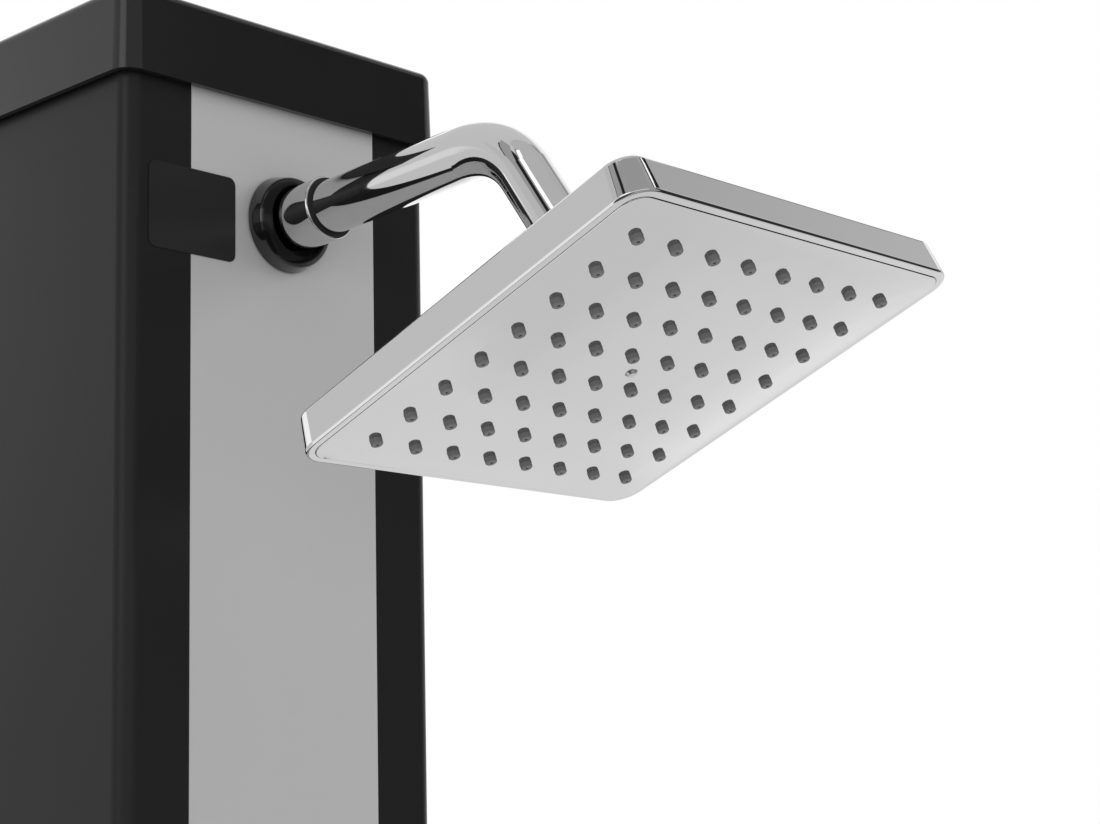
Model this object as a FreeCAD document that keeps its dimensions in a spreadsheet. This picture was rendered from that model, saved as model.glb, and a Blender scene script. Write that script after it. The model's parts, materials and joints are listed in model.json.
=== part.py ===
import FreeCAD, Part
import math
import os
import re

import Sketcher

# A free-standing solar shower: an extruded black column with a water tank, a grey front panel,
# a chrome arm and a square rain head on a ball joint. Millimetres and degrees, +Z up, front at -Y,
# origin on the floor under the middle of the column.
sizes = {
    # column and front panel
    "total_height": 2172,
    "column_width": 190,
    "column_depth": 160,
    "column_corner": 8,
    "column_wall": 4,
    "strip_wall": 3,
    "channel_depth": 52,
    "partition_wall": 4,
    "panel_width": 115.4,
    "panel_clearance": 0.3,
    "panel_flange_lap": 5,
    "panel_flange_wall": 2.5,
    "ledge_lap": 8,
    "ledge_wall": 4,
    "web_wall": 3,
    # top cap
    "cap_height": 41.5,
    "cap_overhang": 5.2,
    "cap_wall": 3,
    "cap_roof": 3.5,
    "cap_draft": 1.5,
    "cap_corner": 10,
    "cap_edge_radius": 5,
    # base
    "base_width": 260,
    "base_depth": 230,
    "base_wall": 10,
    "base_corner": 20,
    "base_edge_radius": 3,
    "socket_height": 60,
    "socket_wall": 5,
    "socket_clearance": 0.4,
    "anchor_spacing_x": 210,
    "anchor_spacing_y": 186,
    "anchor_hole_radius": 5.5,
    # small screws
    "screw_radius": 2,
    "screw_length": 14,
    "screw_head_radius": 4.2,
    "screw_head_height": 2.6,
    "screw_slot_width": 1.1,
    "screw_clearance": 0.1,
    "cap_screw_spacing": 120,
    "cap_screw_rise": 14,
    "base_screw_spacing": 90,
    "base_screw_rise": 36,
    # label
    "label_width": 51,
    "label_height": 41.4,
    "label_wall": 0.4,
    "label_corner": 4,
    "label_centre_x": -57,
    "label_drop": 3.5,
    # shower arm
    "arm_drop": 98.686,
    "arm_rise": 3.5,
    "arm_run": 125.364,
    "arm_bend_radius": 43,
    "arm_bend_angle": 58.8,
    "arm_leg": 76,
    "arm_radius": 12.7,
    "arm_root_radius": 13,
    "arm_wall": 1.5,
    "arm_end_wall": 4,
    "spigot_radius": 9.5,
    "spigot_bore": 7,
    "spigot_depth": 6,
    "thread_clearance": 0.05,
    "collar_radius": 15.5,
    "collar_start": 7.2,
    "collar_end": 33.4,
    "collar_edge": 0.9,
    "groove_radius": 14.6,
    "groove_width": 0.5,
    # wall flange of the arm
    "flange_back_radius": 23.9,
    "flange_radius": 22.2,
    "flange_height": 7.5,
    "flange_crown_height": 3.6,
    "flange_crown_radius": 6,
    "flange_lip_radius": 17.9,
    "flange_dish_radius": 17.4,
    "flange_dish_floor": 8,
    "flange_dish_floor_radius": 16.9,
    "flange_recess_clearance": 0.5,
    "flange_tail_radius": 15,
    "flange_tail_length": 13,
    "flange_gasket_wall": 1,
    "flange_gasket_radius": 21,
    "hole_clearance": 0.3,
    "lock_nut_radius": 23,
    "lock_nut_height": 8,
    # ball joint
    "ball_radius": 12,
    "ball_bore": 4,
    "ball_neck_radius": 6,
    "ball_shoulder": 18,
    "ball_shoulder_wall": 5,
    "ball_stub_length": 14,
    "ball_clearance": 0.3,
    "seat_outer_radius": 15.2,
    "seat_height": 5,
    "seat_drop": 1,
    "seal_wall": 2.4,
    "seal_top_angle": 116,
    "seal_bottom_angle": 146,
    "boss_radius": 18,
    "boss_rim_drop": 1.6,
    "swivel_nut_radius": 21.5,
    "swivel_nut_top": 9,
    "swivel_nut_gap": 0.2,
    "swivel_flat_radius": 23.2,
    "swivel_cone_angle": 28,
    "swivel_mouth_gap": 0.1,
    "swivel_nut_edge": 1.5,
    # rain head
    "head_tilt": 21.66,
    "head_drop": 34.2,
    "head_half": 101.6,
    "head_corner": 13,
    "head_wall_height": 17.8,
    "head_draft": 6.5,
    "head_edge_radius": 2.5,
    "head_rim": 4,
    "head_rim_radius": 1.2,
    "head_roof": 2.6,
    "head_ledge": 4,
    "plate_gap": 0.3,
    "plate_wall": 2.4,
    "plate_proud": 0.3,
    "plate_edge_radius": 0.25,
    "plate_dome": 2.75,
    "mat_wall": 1.6,
    "mat_gap": 0.3,
    "mat_margin": 7,
    "mat_corner": 4,
    "nozzle_pitch": 22,
    "nozzle_count": 8,
    "nozzle_radius": 2.7,
    "nozzle_tip_radius": 2.6,
    "nozzle_tip_edge": 0.4,
    "nozzle_reach": 2.45,
    "nozzle_bore": 0.7,
    "nozzle_clearance": 0.05,
    "gasket_width": 2.6,
    "gasket_wall": 1.6,
    "head_screw_radius": 2,
    "head_screw_head_radius": 2.8,
    "head_screw_head_height": 1,
    "head_screw_face_radius": 1.7,
    "head_screw_grip": 8,
    "head_way_wall": 1,
    "head_post_radius": 4.5,
    # pipework in the service channel
    "pipe_depth": 30,
    "pipe_radius": 8,
    "pipe_bore": 6,
    "pipe_bend_radius": 25,
    "pipe_tank_bend_radius": 22,
    "pipe_socket_depth": 12,
    "pipe_straight": 2,
    "pipe_tank_reach": 6,
    "fitting_wall": 3,
    "hose_wall": 3,
    "hose_overlap": 20,
    "hose_clamp_height": 9,
    "hose_clamp_wall": 1.2,
    "hose_clamp_inset": 4,
    "riser_leg": 42,
    "grommet_flange_radius": 14,
    "grommet_flange_wall": 1.5,
    "grommet_neck_radius": 11,
    "clip_width": 24,
    "clip_height": 12,
    "clip_grip": 4,
    "hot_outlet_drop": 90,
    # tank
    "tank_plate_wall": 8,
    "tank_plate_clearance": 0.3,
    "tank_bottom_rise": 70,
    "tank_top_drop": 60,
    "drain_rise": 120,
    "drain_bushing_radius": 12,
    "drain_bushing_flange": 16,
    "drain_bushing_flange_wall": 4,
    "drain_bushing_reach": 4,
    "drain_bore": 8,
    "drain_seal_wall": 1.5,
    "drain_head_radius": 13,
    "drain_head_height": 9,
    "drain_wing_width": 5,
    "drain_wing_height": 6,
    "drain_wing_inset": 1,
    # water inlet with its check valve
    "inlet_rise": 140,
    "inlet_thread_radius": 13.2,
    "inlet_thread_length": 20,
    "inlet_thread_chamfer": 1.5,
    "inlet_flange_radius": 17,
    "inlet_flange_wall": 5,
    "inlet_gasket_wall": 1.5,
    "inlet_gasket_radius": 16.5,
    "inlet_tail_radius": 11,
    "inlet_bore": 7,
    "inlet_chamber_radius": 8.5,
    "inlet_chamber_depth": 16,
    "inlet_nut_radius": 16,
    "inlet_nut_height": 6,
    "tee_radius": 14,
    "tee_bore": 5,
    "tee_reach": 26,
    "tee_back_reach": 20,
    "tee_mouth_gap": 1,
    "tee_step": 1,
    "poppet_radius": 7.9,
    "poppet_wall": 2.5,
    "poppet_stem_radius": 2,
    "poppet_stem_length": 8,
    "poppet_gap": 0.1,
    "spring_radius": 5.6,
    "spring_wire_radius": 0.5,
    "spring_turns": 4,
    "spring_end_gap": 0.3,
    # single lever mixer
    "mixer_height": 1120,
    "mixer_body_radius": 24,
    "mixer_body_back": 14,
    "mixer_neck_radius": 21,
    "mixer_neck_reach": 20,
    "mixer_nipple_reach": 40,
    "mixer_outlet_reach": 56,
    "mixer_inlet_start": 4,
    "mixer_port_radius": 3.5,
    "mixer_inlet_port_x": 9,
    "mixer_inlet_port_y": -4,
    "mixer_outlet_port_y": 10.5,
    "escutcheon_radius": 37,
    "escutcheon_height": 10,
    "escutcheon_edge_radius": 4,
    "cartridge_radius": 17.4,
    "cartridge_bore": 14.5,
    "cartridge_floor": -1,
    "cartridge_length": 27,
    "cartridge_roof": 3,
    "cartridge_mouth": 10.7,
    "face_clearance": 0.1,
    "fixed_disc_wall": 4,
    "disc_port_radius": 3,
    "moving_disc_radius": 8.8,
    "moving_disc_wall": 4,
    "moving_disc_pocket": 4,
    "moving_disc_pocket_depth": 2.5,
    "mixing_recess_radius": 5.2,
    "mixing_recess_depth": 1,
    "turret_clearance": 0.3,
    "turret_floor": 8,
    "turret_neck_radius": 10.3,
    "turret_neck_reach": 28,
    "turret_slot_overlap": 4,
    "pivot_height": 18,
    "pivot_pin_radius": 1.5,
    "pivot_pin_length": 25,
    "stem_width": 8,
    "stem_clearance": 0.2,
    "stem_floor": 11,
    "stem_top": 54,
    "stem_finger_radius": 2.6,
    "stem_finger_end": 5.2,
    "lever_lift": 25,
    "clamp_nut_wall": 3,
    "clamp_nut_roof": 2,
    "clamp_nut_mouth": 11.5,
    "shroud_radius": 29,
    "shroud_wall": 2,
    "shroud_mouth_angle": 38,
    "shroud_gap": 0.2,
    "lever_cap_gap": 0.4,
    "lever_cap_wall": 3.6,
    "lever_cap_angle": 64,
    "lever_hub_radius": 12,
    "lever_hub_top": 60,
    "lever_bar_length": 84,
    "lever_bar_width": 18,
    "lever_bar_tip_width": 13,
    "lever_bar_wall": 8,
    "lever_bar_inset": 1,
    "lever_edge_radius": 2.4,
    "index_radius": 5.5,
    "index_wall": 1.2,
    "index_proud": 0.4,
    "set_screw_radius": 2,
    "set_screw_length": 5,
    "set_screw_gap": 0.2,
    "set_screw_drop": 5,
    # how far a cutting shape runs past the piece that it cuts
    "cut_over": 1,
}

# Places that several pieces share, worked out from the sizes.
derived = {
    "front": "-column_depth / 2",
    "rear": "column_depth / 2",
    "side": "column_width / 2",
    "inner_half": "side - column_wall",
    "strip_back": "front + strip_wall",
    "panel_half": "panel_width / 2",
    "slot_half": "panel_half + panel_clearance",
    "flange_half": "panel_half + panel_flange_lap",
    "groove_half": "flange_half + panel_clearance",
    "ledge_half": "panel_half - ledge_lap",
    "web_half": "groove_half + web_wall",
    "panel_wall": "strip_wall + panel_flange_wall",
    "groove_back": "front + panel_wall + panel_clearance",
    "ledge_back": "groove_back + ledge_wall",
    "partition_front": "strip_back + channel_depth",
    "partition_back": "partition_front + partition_wall",
    "rear_inner": "rear - column_wall",
    "tank_corner": "column_corner - column_wall",
    "column_top": "total_height - cap_roof",
    "column_length": "column_top - base_wall",
    "cap_bottom": "total_height - cap_height",
    "arm_height": "total_height - arm_drop",
    "arm_start": "collar_end + groove_width",
    "spigot_start": "collar_start - spigot_depth",
    "flange_bore": "spigot_radius + thread_clearance",
    "flange_tail_end": "panel_wall + flange_tail_length",
    "pipe_y": "front + pipe_depth",
    "hot_x": "mixer_nipple_reach + pipe_straight + pipe_bend_radius",
    "cold_x": "-hot_x",
    "inlet_height": "base_wall + inlet_rise",
    "hot_height": "total_height - hot_outlet_drop",
    "tank_floor": "base_wall + tank_bottom_rise",
    "tank_roof": "total_height - tank_top_drop",
    "drain_height": "base_wall + drain_rise",
    "hose_bore": "spigot_radius + thread_clearance",
    "hose_radius": "hose_bore + hose_wall",
    "hose_top": "arm_height - riser_leg + hose_overlap",
    "hose_bottom": "mixer_height + mixer_outlet_reach - hose_overlap",
    "tee_offset": "side + cold_x",
    "inlet_tail_length": "tee_offset - pipe_radius - tee_step",
    "head_base": "-head_drop",
    "head_top": "-head_drop + head_wall_height",
    "recess_half": "head_half - head_rim",
    "recess_corner": "head_corner - head_rim",
    "plate_recess": "plate_wall - plate_proud + gasket_wall",
    "plate_half": "recess_half - plate_gap",
    "face_base": "head_base - plate_proud",
    "chamber_half": "recess_half - head_ledge",
    "mat_half": "plate_half - mat_margin",
    "mat_lift": "plate_wall + mat_gap",
    "ball_room": "ball_radius + ball_clearance",
    "seal_outer": "ball_room + seal_wall",
    "boss_socket": "seal_outer + ball_clearance",
    "post_floor": "face_base - plate_dome + plate_wall + face_clearance",
    "boss_rim": "-boss_rim_drop - seat_drop",
    "nut_roof": "seat_height + ball_clearance",
    "swivel_mouth": "sqrt(ball_room ^ 2 - seat_height ^ 2) + swivel_mouth_gap",
    "fixed_disc_top": "cartridge_floor + face_clearance + fixed_disc_wall",
    "moving_disc_floor": "fixed_disc_top + face_clearance",
    "moving_disc_top": "moving_disc_floor + moving_disc_wall",
    "cartridge_top": "cartridge_floor + cartridge_length",
    "turret_radius": "cartridge_bore - turret_clearance",
    "turret_shoulder": "cartridge_top - cartridge_roof - turret_clearance",
    "lever_cap_inner": "shroud_radius + lever_cap_gap",
    "lever_cap_outer": "lever_cap_inner + lever_cap_wall",
}

doc = FreeCAD.newDocument("solar_shower")
sheet = doc.addObject("Spreadsheet::Sheet", "Sizes")
for row, (word, value) in enumerate(sizes.items(), start=1):
    sheet.set(f"A{row}", word)
    sheet.set(f"B{row}", str(value))
    sheet.setAlias(f"B{row}", word)
doc.recompute()
gauge = doc.addObject("Part::Vertex", "gauge")
height_tolerance = 1e-4
known = {}
nodes = []


# Words of an expression that name a size or a shared place get their full form.
def bound(text):
    def full(match):
        word = match.group(0)
        if word in sizes:
            return "Sizes." + word
        if word in derived:
            return "(" + bound(derived[word]) + ")"
        return word
    return re.sub(r"[a-z][a-z0-9_]*", full, text)


# The number that an expression stands for, read from a point whose X is bound to it.
def number(text):
    full = bound(text)
    if full not in known:
        gauge.setExpression("X", full)
        gauge.recompute()
        known[full] = gauge.X.Value
    return known[full]


def bind(thing, **expressions):
    for name, text in expressions.items():
        thing.setExpression(name.replace("__", "."), bound(text))
    return thing


def frame(x="0", y="0", z="0", axis="1; 0; 0", angle="0"):
    return f"placement(vector({x}; {y}; {z}); rotation(vector({axis}); {angle}))"


def keep(thing, label, place=None):
    thing.Label = label
    if place:
        bind(thing, Placement=place)
    nodes.append(thing)
    return thing


def fresh(kind, name="piece"):
    return doc.addObject(kind, name)


def cylinder(radius, length, place=frame()):
    return bind(fresh("Part::Cylinder"), Radius=radius, Height=length, Placement=place)


def cone(radius, far_radius, length, place=frame()):
    return bind(fresh("Part::Cone"), Radius1=radius, Radius2=far_radius, Height=length, Placement=place)


def ball(radius, place=frame()):
    return bind(fresh("Part::Sphere"), Radius=radius, Placement=place)


def box(length, width, height, x, y, z):
    return bind(fresh("Part::Box"), Length=length, Width=width, Height=height, Placement=frame(x, y, z))


def hexagon(radius, length, place=frame()):
    prism = fresh("Part::Prism")
    prism.Polygon = 6
    return bind(prism, Circumradius=radius, Height=length, Placement=place)


# A sector of a torus that starts on +Y of its own frame and turns about +X towards +Z.
def bend(radius, tube, angle, place):
    ring = fresh("Part::Torus")
    ring.Angle1 = -180
    ring.Angle2 = 180
    bind(ring, Radius1=radius, Radius2=tube, Angle3=angle)
    return bind(ring, Placement=place + " * " + frame(axis="1; 1; 1", angle="120"))


def fuse(pieces):
    if len(pieces) == 1:
        return pieces[0]
    joined = fresh("Part::MultiFuse")
    joined.Shapes = pieces
    return joined


def cut(base, tools):
    rest = fresh("Part::Cut")
    rest.Base = base
    rest.Tool = fuse(tools)
    return rest


def common(first, second):
    both = fresh("Part::Common")
    both.Base = first
    both.Tool = second
    return both


def group(pieces):
    together = fresh("Part::Compound")
    together.Links = pieces
    return together


# Outlines are lists of corners (x, y), of square corners to be rounded (x, y, radius), and of arcs
# (radius, turn) between two corners, where turn is 1 to the left and -1 to the right.
class Arc:
    def __init__(self, radius, turn):
        self.radius = radius
        self.turn = turn


def mirrored(outline):
    return [(f"-({corner[0]})", *corner[1:]) for corner in reversed(outline)]


def rounded_rectangle(half_x, low_y, high_y, radius):
    right = [(half_x, low_y, radius), (half_x, high_y, radius)]
    return right + mirrored(right)


def rounded_square(half, radius):
    return rounded_rectangle(half, f"-({half})", half, radius)


# The corner point and the two ends of the arc that rounds it, for edges along X or Y.
def round_corner(before, corner, after):
    x, y, radius = corner
    here = (number(x), number(y))
    steps = []
    for other in (before, after):
        step_x = number(other[0]) - here[0]
        step_y = number(other[1]) - here[1]
        level_edge = abs(step_x) > abs(step_y)
        steps.append((math.copysign(1, step_x), 0) if level_edge else (0, math.copysign(1, step_y)))
    ends = [(f"{x} + {sx:.0f} * ({radius})", f"{y} + {sy:.0f} * ({radius})") for sx, sy in steps]
    turn = steps[0][1] * steps[1][0] - steps[0][0] * steps[1][1]
    return [ends[0], Arc(radius, turn), ends[1]]


def spread(outline):
    corners = [item for item in outline if not isinstance(item, Arc)]
    plain = []
    for item in outline:
        if isinstance(item, Arc) or len(item) == 2:
            plain.append(item)
            continue
        index = corners.index(item)
        plain += round_corner(corners[index - 1], item, corners[(index + 1) % len(corners)])
    return plain


def arc_between(start, end, arc):
    radius = number(arc.radius)
    middle = (start + end) / 2
    chord = end - start
    height = math.sqrt(max(radius ** 2 - (chord.Length / 2) ** 2, 0))
    left = FreeCAD.Vector(-chord.y, chord.x, 0).normalize()
    centre = middle + left * height * arc.turn
    first, last = (start, end) if arc.turn > 0 else (end, start)
    angles = [math.atan2(point.y - centre.y, point.x - centre.x) for point in (first, last)]
    circle = Part.Circle(centre, FreeCAD.Vector(0, 0, 1), radius)
    return Part.ArcOfCircle(circle, angles[0], angles[1])


def place_point(sketch, edge, end, corner):
    for kind, text in (("DistanceX", corner[0]), ("DistanceY", corner[1])):
        index = sketch.addConstraint(Sketcher.Constraint(kind, edge, end, number(text)))
        sketch.setExpression(f"Constraints[{index}]", bound(text))


def draw_circle(sketch, x, y, radius):
    centre = FreeCAD.Vector(number(x), number(y), 0)
    edge = sketch.addGeometry(Part.Circle(centre, FreeCAD.Vector(0, 0, 1), number(radius)), False)
    index = sketch.addConstraint(Sketcher.Constraint("Radius", edge, number(radius)))
    sketch.setExpression(f"Constraints[{index}]", bound(radius))
    place_point(sketch, edge, 3, (x, y))


def draw(sketch, outline):
    plain = spread(outline)
    corners = [item for item in plain if not isinstance(item, Arc)]
    points = [FreeCAD.Vector(number(x), number(y), 0) for x, y in corners]
    ends = []
    step = 0
    for index, item in enumerate(plain):
        if isinstance(item, Arc):
            continue
        arc = plain[(index + 1) % len(plain)]
        start, end = points[step], points[(step + 1) % len(points)]
        step += 1
        if isinstance(arc, Arc):
            edge = sketch.addGeometry(arc_between(start, end, arc), False)
            ends.append((edge, 1, 2) if arc.turn > 0 else (edge, 2, 1))
            radius = sketch.addConstraint(Sketcher.Constraint("Radius", edge, number(arc.radius)))
            sketch.setExpression(f"Constraints[{radius}]", bound(arc.radius))
        else:
            edge = sketch.addGeometry(Part.LineSegment(start, end), False)
            ends.append((edge, 1, 2))
    for index, (edge, first, last) in enumerate(ends):
        following = ends[(index + 1) % len(ends)]
        sketch.addConstraint(Sketcher.Constraint("Coincident", edge, last, following[0], following[1]))
        place_point(sketch, edge, first, corners[index])


def body_named(name):
    return fresh("PartDesign::Body", name + "_blank")


def sketch_on(body, role, outlines, lift="0"):
    plane = [thing for thing in body.Origin.OriginFeatures if thing.Role == role][0]
    sketch = body.newObject("Sketcher::SketchObject", "outline")
    sketch.AttachmentSupport = [(plane, "")]
    sketch.MapMode = "FlatFace"
    sketch.setExpression("AttachmentOffset.Base.z", bound(lift))
    for outline in outlines:
        if outline[0] == "circle":
            draw_circle(sketch, *outline[1:])
        else:
            draw(sketch, outline)
    return sketch


def pad(body, outlines, length, lift="0", draft=None, role="XY_Plane"):
    feature = body.newObject("PartDesign::Pad", "pad")
    feature.Profile = sketch_on(body, role, outlines, lift)
    bind(feature, Length=length)
    if draft:
        bind(feature, TaperAngle=draft)
    return feature


# A pocket cut downwards from the height of its sketch.
def pocket(body, outlines, depth, lift):
    feature = body.newObject("PartDesign::Pocket", "pocket")
    feature.Profile = sketch_on(body, "XY_Plane", outlines, lift)
    return bind(feature, Length=depth)


# A piece turned about its own Z axis from an outline of (radius, height) corners.
def turned(name, outline):
    body = body_named(name)
    feature = body.newObject("PartDesign::Revolution", "turning")
    feature.Profile = sketch_on(body, "XZ_Plane", [outline])
    feature.ReferenceAxis = (feature.Profile[0], ["V_Axis"])
    feature.Angle = 360
    return body


def ring(name, inner, outer, low, high):
    return turned(name, [(inner, low), (outer, low), (outer, high), (inner, high)])


def fillet(body, radius, wanted):
    doc.recompute()
    base = body.Tip
    feature = body.newObject("PartDesign::Fillet", "rounding")
    names = [f"Edge{index}" for index, edge in enumerate(base.Shape.Edges, start=1) if wanted(edge)]
    feature.Base = (base, names)
    return bind(feature, Radius=radius)


def level(edge, height):
    low, high = edge.BoundBox.ZMin, edge.BoundBox.ZMax
    return max(abs(low - height), abs(high - height)) < height_tolerance


# A tube along straight runs with a tangent arc of its own radius at each inner corner.
def tube_shape(corners, radii, outer, inner):
    edges = []
    start = corners[0]
    for index, radius in enumerate(radii, start=1):
        corner = corners[index]
        back = (corners[index - 1] - corner).normalize()
        ahead = (corners[index + 1] - corner).normalize()
        half = back.getAngle(ahead) / 2
        reach = radius / math.tan(half)
        middle = corner + (back + ahead).normalize() * (radius / math.sin(half) - radius)
        edges.append(Part.LineSegment(start, corner + back * reach).toShape())
        edges.append(Part.Arc(corner + back * reach, middle, corner + ahead * reach).toShape())
        start = corner + ahead * reach
    edges.append(Part.LineSegment(start, corners[-1]).toShape())
    length = sum(edge.Length for edge in edges)
    path = Part.Wire(edges)
    along = corners[1] - corners[0]
    skins = []
    for radius in (outer, inner):
        section = Part.Wire(Part.Circle(corners[0], along, radius).toShape())
        skins.append(path.makePipeShell([section], True, False))
    tube = skins[0].cut(skins[1])
    share = tube.Volume / (math.pi * (outer ** 2 - inner ** 2) * length)
    return tube, share


def pipe(label, corners, radii):
    points = [FreeCAD.Vector(*[number(text) for text in corner]) for corner in corners]
    bends = [number(text) for text in radii]
    piece = fresh("Part::Feature", label)
    piece.Shape, share = tube_shape(points, bends, number("pipe_radius"), number("pipe_bore"))
    print(label, "bend radii", bends, "volume over section times length", round(share, 5))
    return keep(piece, label)


# A pan-head screw along its own -Z, head above zero, with a cross recess.
def screw(place):
    blank = turned("screw", [
        ("0", "-screw_length"), ("screw_radius", "-screw_length + screw_radius"), ("screw_radius", "0"),
        ("screw_head_radius", "0"), ("screw_head_radius", "screw_head_height / 2"),
        ("screw_head_radius / 2", "screw_head_height"), ("0", "screw_head_height")])
    reach = "screw_head_radius"
    low = "screw_head_height / 2"
    half = "-screw_slot_width / 2"
    across = box(reach, "screw_slot_width", "screw_head_height", f"-{reach} / 2", half, low)
    along = box("screw_slot_width", reach, "screw_head_height", half, f"-{reach} / 2", low)
    return bind(cut(blank, [across, along]), Placement=place)


# Frames of the sub-assemblies. Facing frames look out of a wall: their +Z is the wall's outward side.
def front_frame(height):
    return frame("0", "front", height, angle="90")


arm_frame = frame("0", "front", "arm_height", angle="90 - arm_rise")
leg_in_arm = frame("0", "arm_bend_radius * (cos(arm_bend_angle) - 1)",
                   "arm_run + arm_bend_radius * sin(arm_bend_angle)", angle="arm_bend_angle")
ball_frame = arm_frame + " * " + leg_in_arm + " * " + frame(z="arm_leg")
head_frame = ball_frame + " * " + frame(angle="arm_rise - 90 - arm_bend_angle - head_tilt")
flange_frame = front_frame("arm_height")
mixer_frame = front_frame("mixer_height")
inlet_frame = frame("-side", "pipe_y", "inlet_height", "0; 1; 0", "-90")
drain_frame = frame("0", "rear", "drain_height", angle="-90")
cap_screw_frames = [
    frame(f"{sign} * cap_screw_spacing / 2", "rear + cap_overhang - cap_screw_rise * tan(cap_draft)",
          "cap_bottom + cap_screw_rise", angle="-90 + cap_draft") for sign in (-1, 1)]
base_screw_frames = [
    frame(f"{side} * (side + socket_clearance + socket_wall)", f"{sign} * base_screw_spacing / 2",
          "base_wall + base_screw_rise", "0; 1; 0", f"{side} * 90") for side in (-1, 1) for sign in (-1, 1)]


tank_passages = (("cold_x", "inlet_height"), ("hot_x", "hot_height"))
mixer_ports = (("-mixer_inlet_port_x", "mixer_inlet_port_y"), ("mixer_inlet_port_x", "mixer_inlet_port_y"),
               ("0", "mixer_outlet_port_y"))


def screw_holes(frames):
    start = " * " + frame(z="-screw_length - screw_clearance")
    radius = "screw_radius + screw_clearance"
    return [cylinder(radius, "2 * screw_length", place + start) for place in frames]


def along_y(radius, low, high, x, z):
    return cylinder(radius, f"{high} - ({low})", frame(x, low, z, angle="-90"))


# Column: one extrusion with the tank behind, the service channel in front and a hooked groove
# on each side of the slot that takes the front panel.
def make_column():
    right = [
        ("inner_half", "partition_front"), ("inner_half", "strip_back"), ("web_half", "strip_back"),
        ("web_half", "ledge_back"), ("ledge_half", "ledge_back"), ("ledge_half", "groove_back"),
        ("groove_half", "groove_back"), ("groove_half", "strip_back"), ("slot_half", "strip_back"),
        ("slot_half", "front"), ("side", "front", "column_corner"), ("side", "rear", "column_corner")]
    tank = rounded_rectangle("inner_half", "partition_back", "rear_inner", "tank_corner")
    body = body_named("column")
    pad(body, [right + mirrored(right), tank], "column_length", "base_wall")
    through = [
        along_y("grommet_neck_radius", "partition_front - cut_over", "partition_back + cut_over", x, z)
        for x, z in tank_passages]
    drain_hole = "drain_bushing_radius + thread_clearance"
    through.append(along_y(drain_hole, "rear_inner - cut_over", "rear + cut_over", "0", "drain_height"))
    through.append(cylinder("inlet_tail_radius + hole_clearance", "column_wall + 2 * cut_over",
                            inlet_frame + " * " + frame(z="-column_wall - cut_over")))
    through += screw_holes(cap_screw_frames) + screw_holes(base_screw_frames)
    keep(cut(body, through), "column_profile")


def make_panel():
    right = [("flange_half", "front + panel_wall"), ("flange_half", "strip_back"),
             ("panel_half", "strip_back"), ("panel_half", "front")]
    body = body_named("panel")
    pad(body, [right + mirrored(right)], "column_length", "base_wall")
    low, high = "front - cut_over", "front + panel_wall + cut_over"
    holes = [along_y("flange_tail_radius + hole_clearance", low, high, "0", "arm_height"),
             along_y("mixer_neck_radius + hole_clearance", low, high, "0", "mixer_height")]
    keep(cut(body, holes), "front_panel")


# Cap: a drafted hood whose roof lies on the rim of the column.
def make_cap():
    body = body_named("cap")
    outer = rounded_rectangle("side + cap_overhang", "front - cap_overhang", "rear + cap_overhang",
                              "cap_corner")
    lap = "cap_overhang - cap_wall"
    inner = rounded_rectangle(f"side + {lap}", f"front - ({lap})", f"rear + {lap}", "cap_corner - cap_wall")
    pad(body, [outer], "cap_height", draft="-cap_draft")
    fillet(body, "cap_edge_radius", lambda edge: level(edge, number("cap_height")))
    pocket(body, [inner], "cap_height - cap_roof", "cap_height - cap_roof")
    local = [frame(z="-cap_bottom") + " * " + place for place in cap_screw_frames]
    keep(cut(body, screw_holes(local)), "top_cap", frame(z="cap_bottom"))


def make_base():
    body = body_named("base")
    plate = rounded_rectangle("base_width / 2", "-base_depth / 2", "base_depth / 2", "base_corner")
    grip = "socket_clearance + socket_wall"
    collar = rounded_rectangle(f"side + {grip}", f"front - ({grip})", f"rear + {grip}",
                               f"column_corner + {grip}")
    gap = "socket_clearance"
    hollow = rounded_rectangle(f"side + {gap}", f"front - {gap}", f"rear + {gap}", f"column_corner + {gap}")
    pad(body, [plate], "base_wall")
    fillet(body, "base_edge_radius", lambda edge: level(edge, number("base_wall")))
    pad(body, [collar], "socket_height", "base_wall")
    fillet(body, "base_edge_radius / 2", lambda edge: level(edge, number("base_wall + socket_height")))
    pocket(body, [hollow], "socket_height", "base_wall + socket_height")
    anchors = [
        cylinder("anchor_hole_radius", "base_wall + 2 * cut_over",
                 frame(f"{sx} * anchor_spacing_x / 2", f"{sy} * anchor_spacing_y / 2", "-cut_over"))
        for sx in (-1, 1) for sy in (-1, 1)]
    keep(cut(body, anchors + screw_holes(base_screw_frames)), "base_plate")


def make_screws():
    keep(group([screw(place) for place in cap_screw_frames]), "cap_screws")
    keep(group([screw(place) for place in base_screw_frames]), "base_screws")


def make_label():
    body = body_named("label")
    outline = rounded_rectangle("label_width / 2", "-label_height / 2", "label_height / 2", "label_corner")
    pad(body, [outline], "label_wall")
    keep(body, "label_plate", frame("label_centre_x", "front", "arm_height - label_drop", angle="90"))


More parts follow.
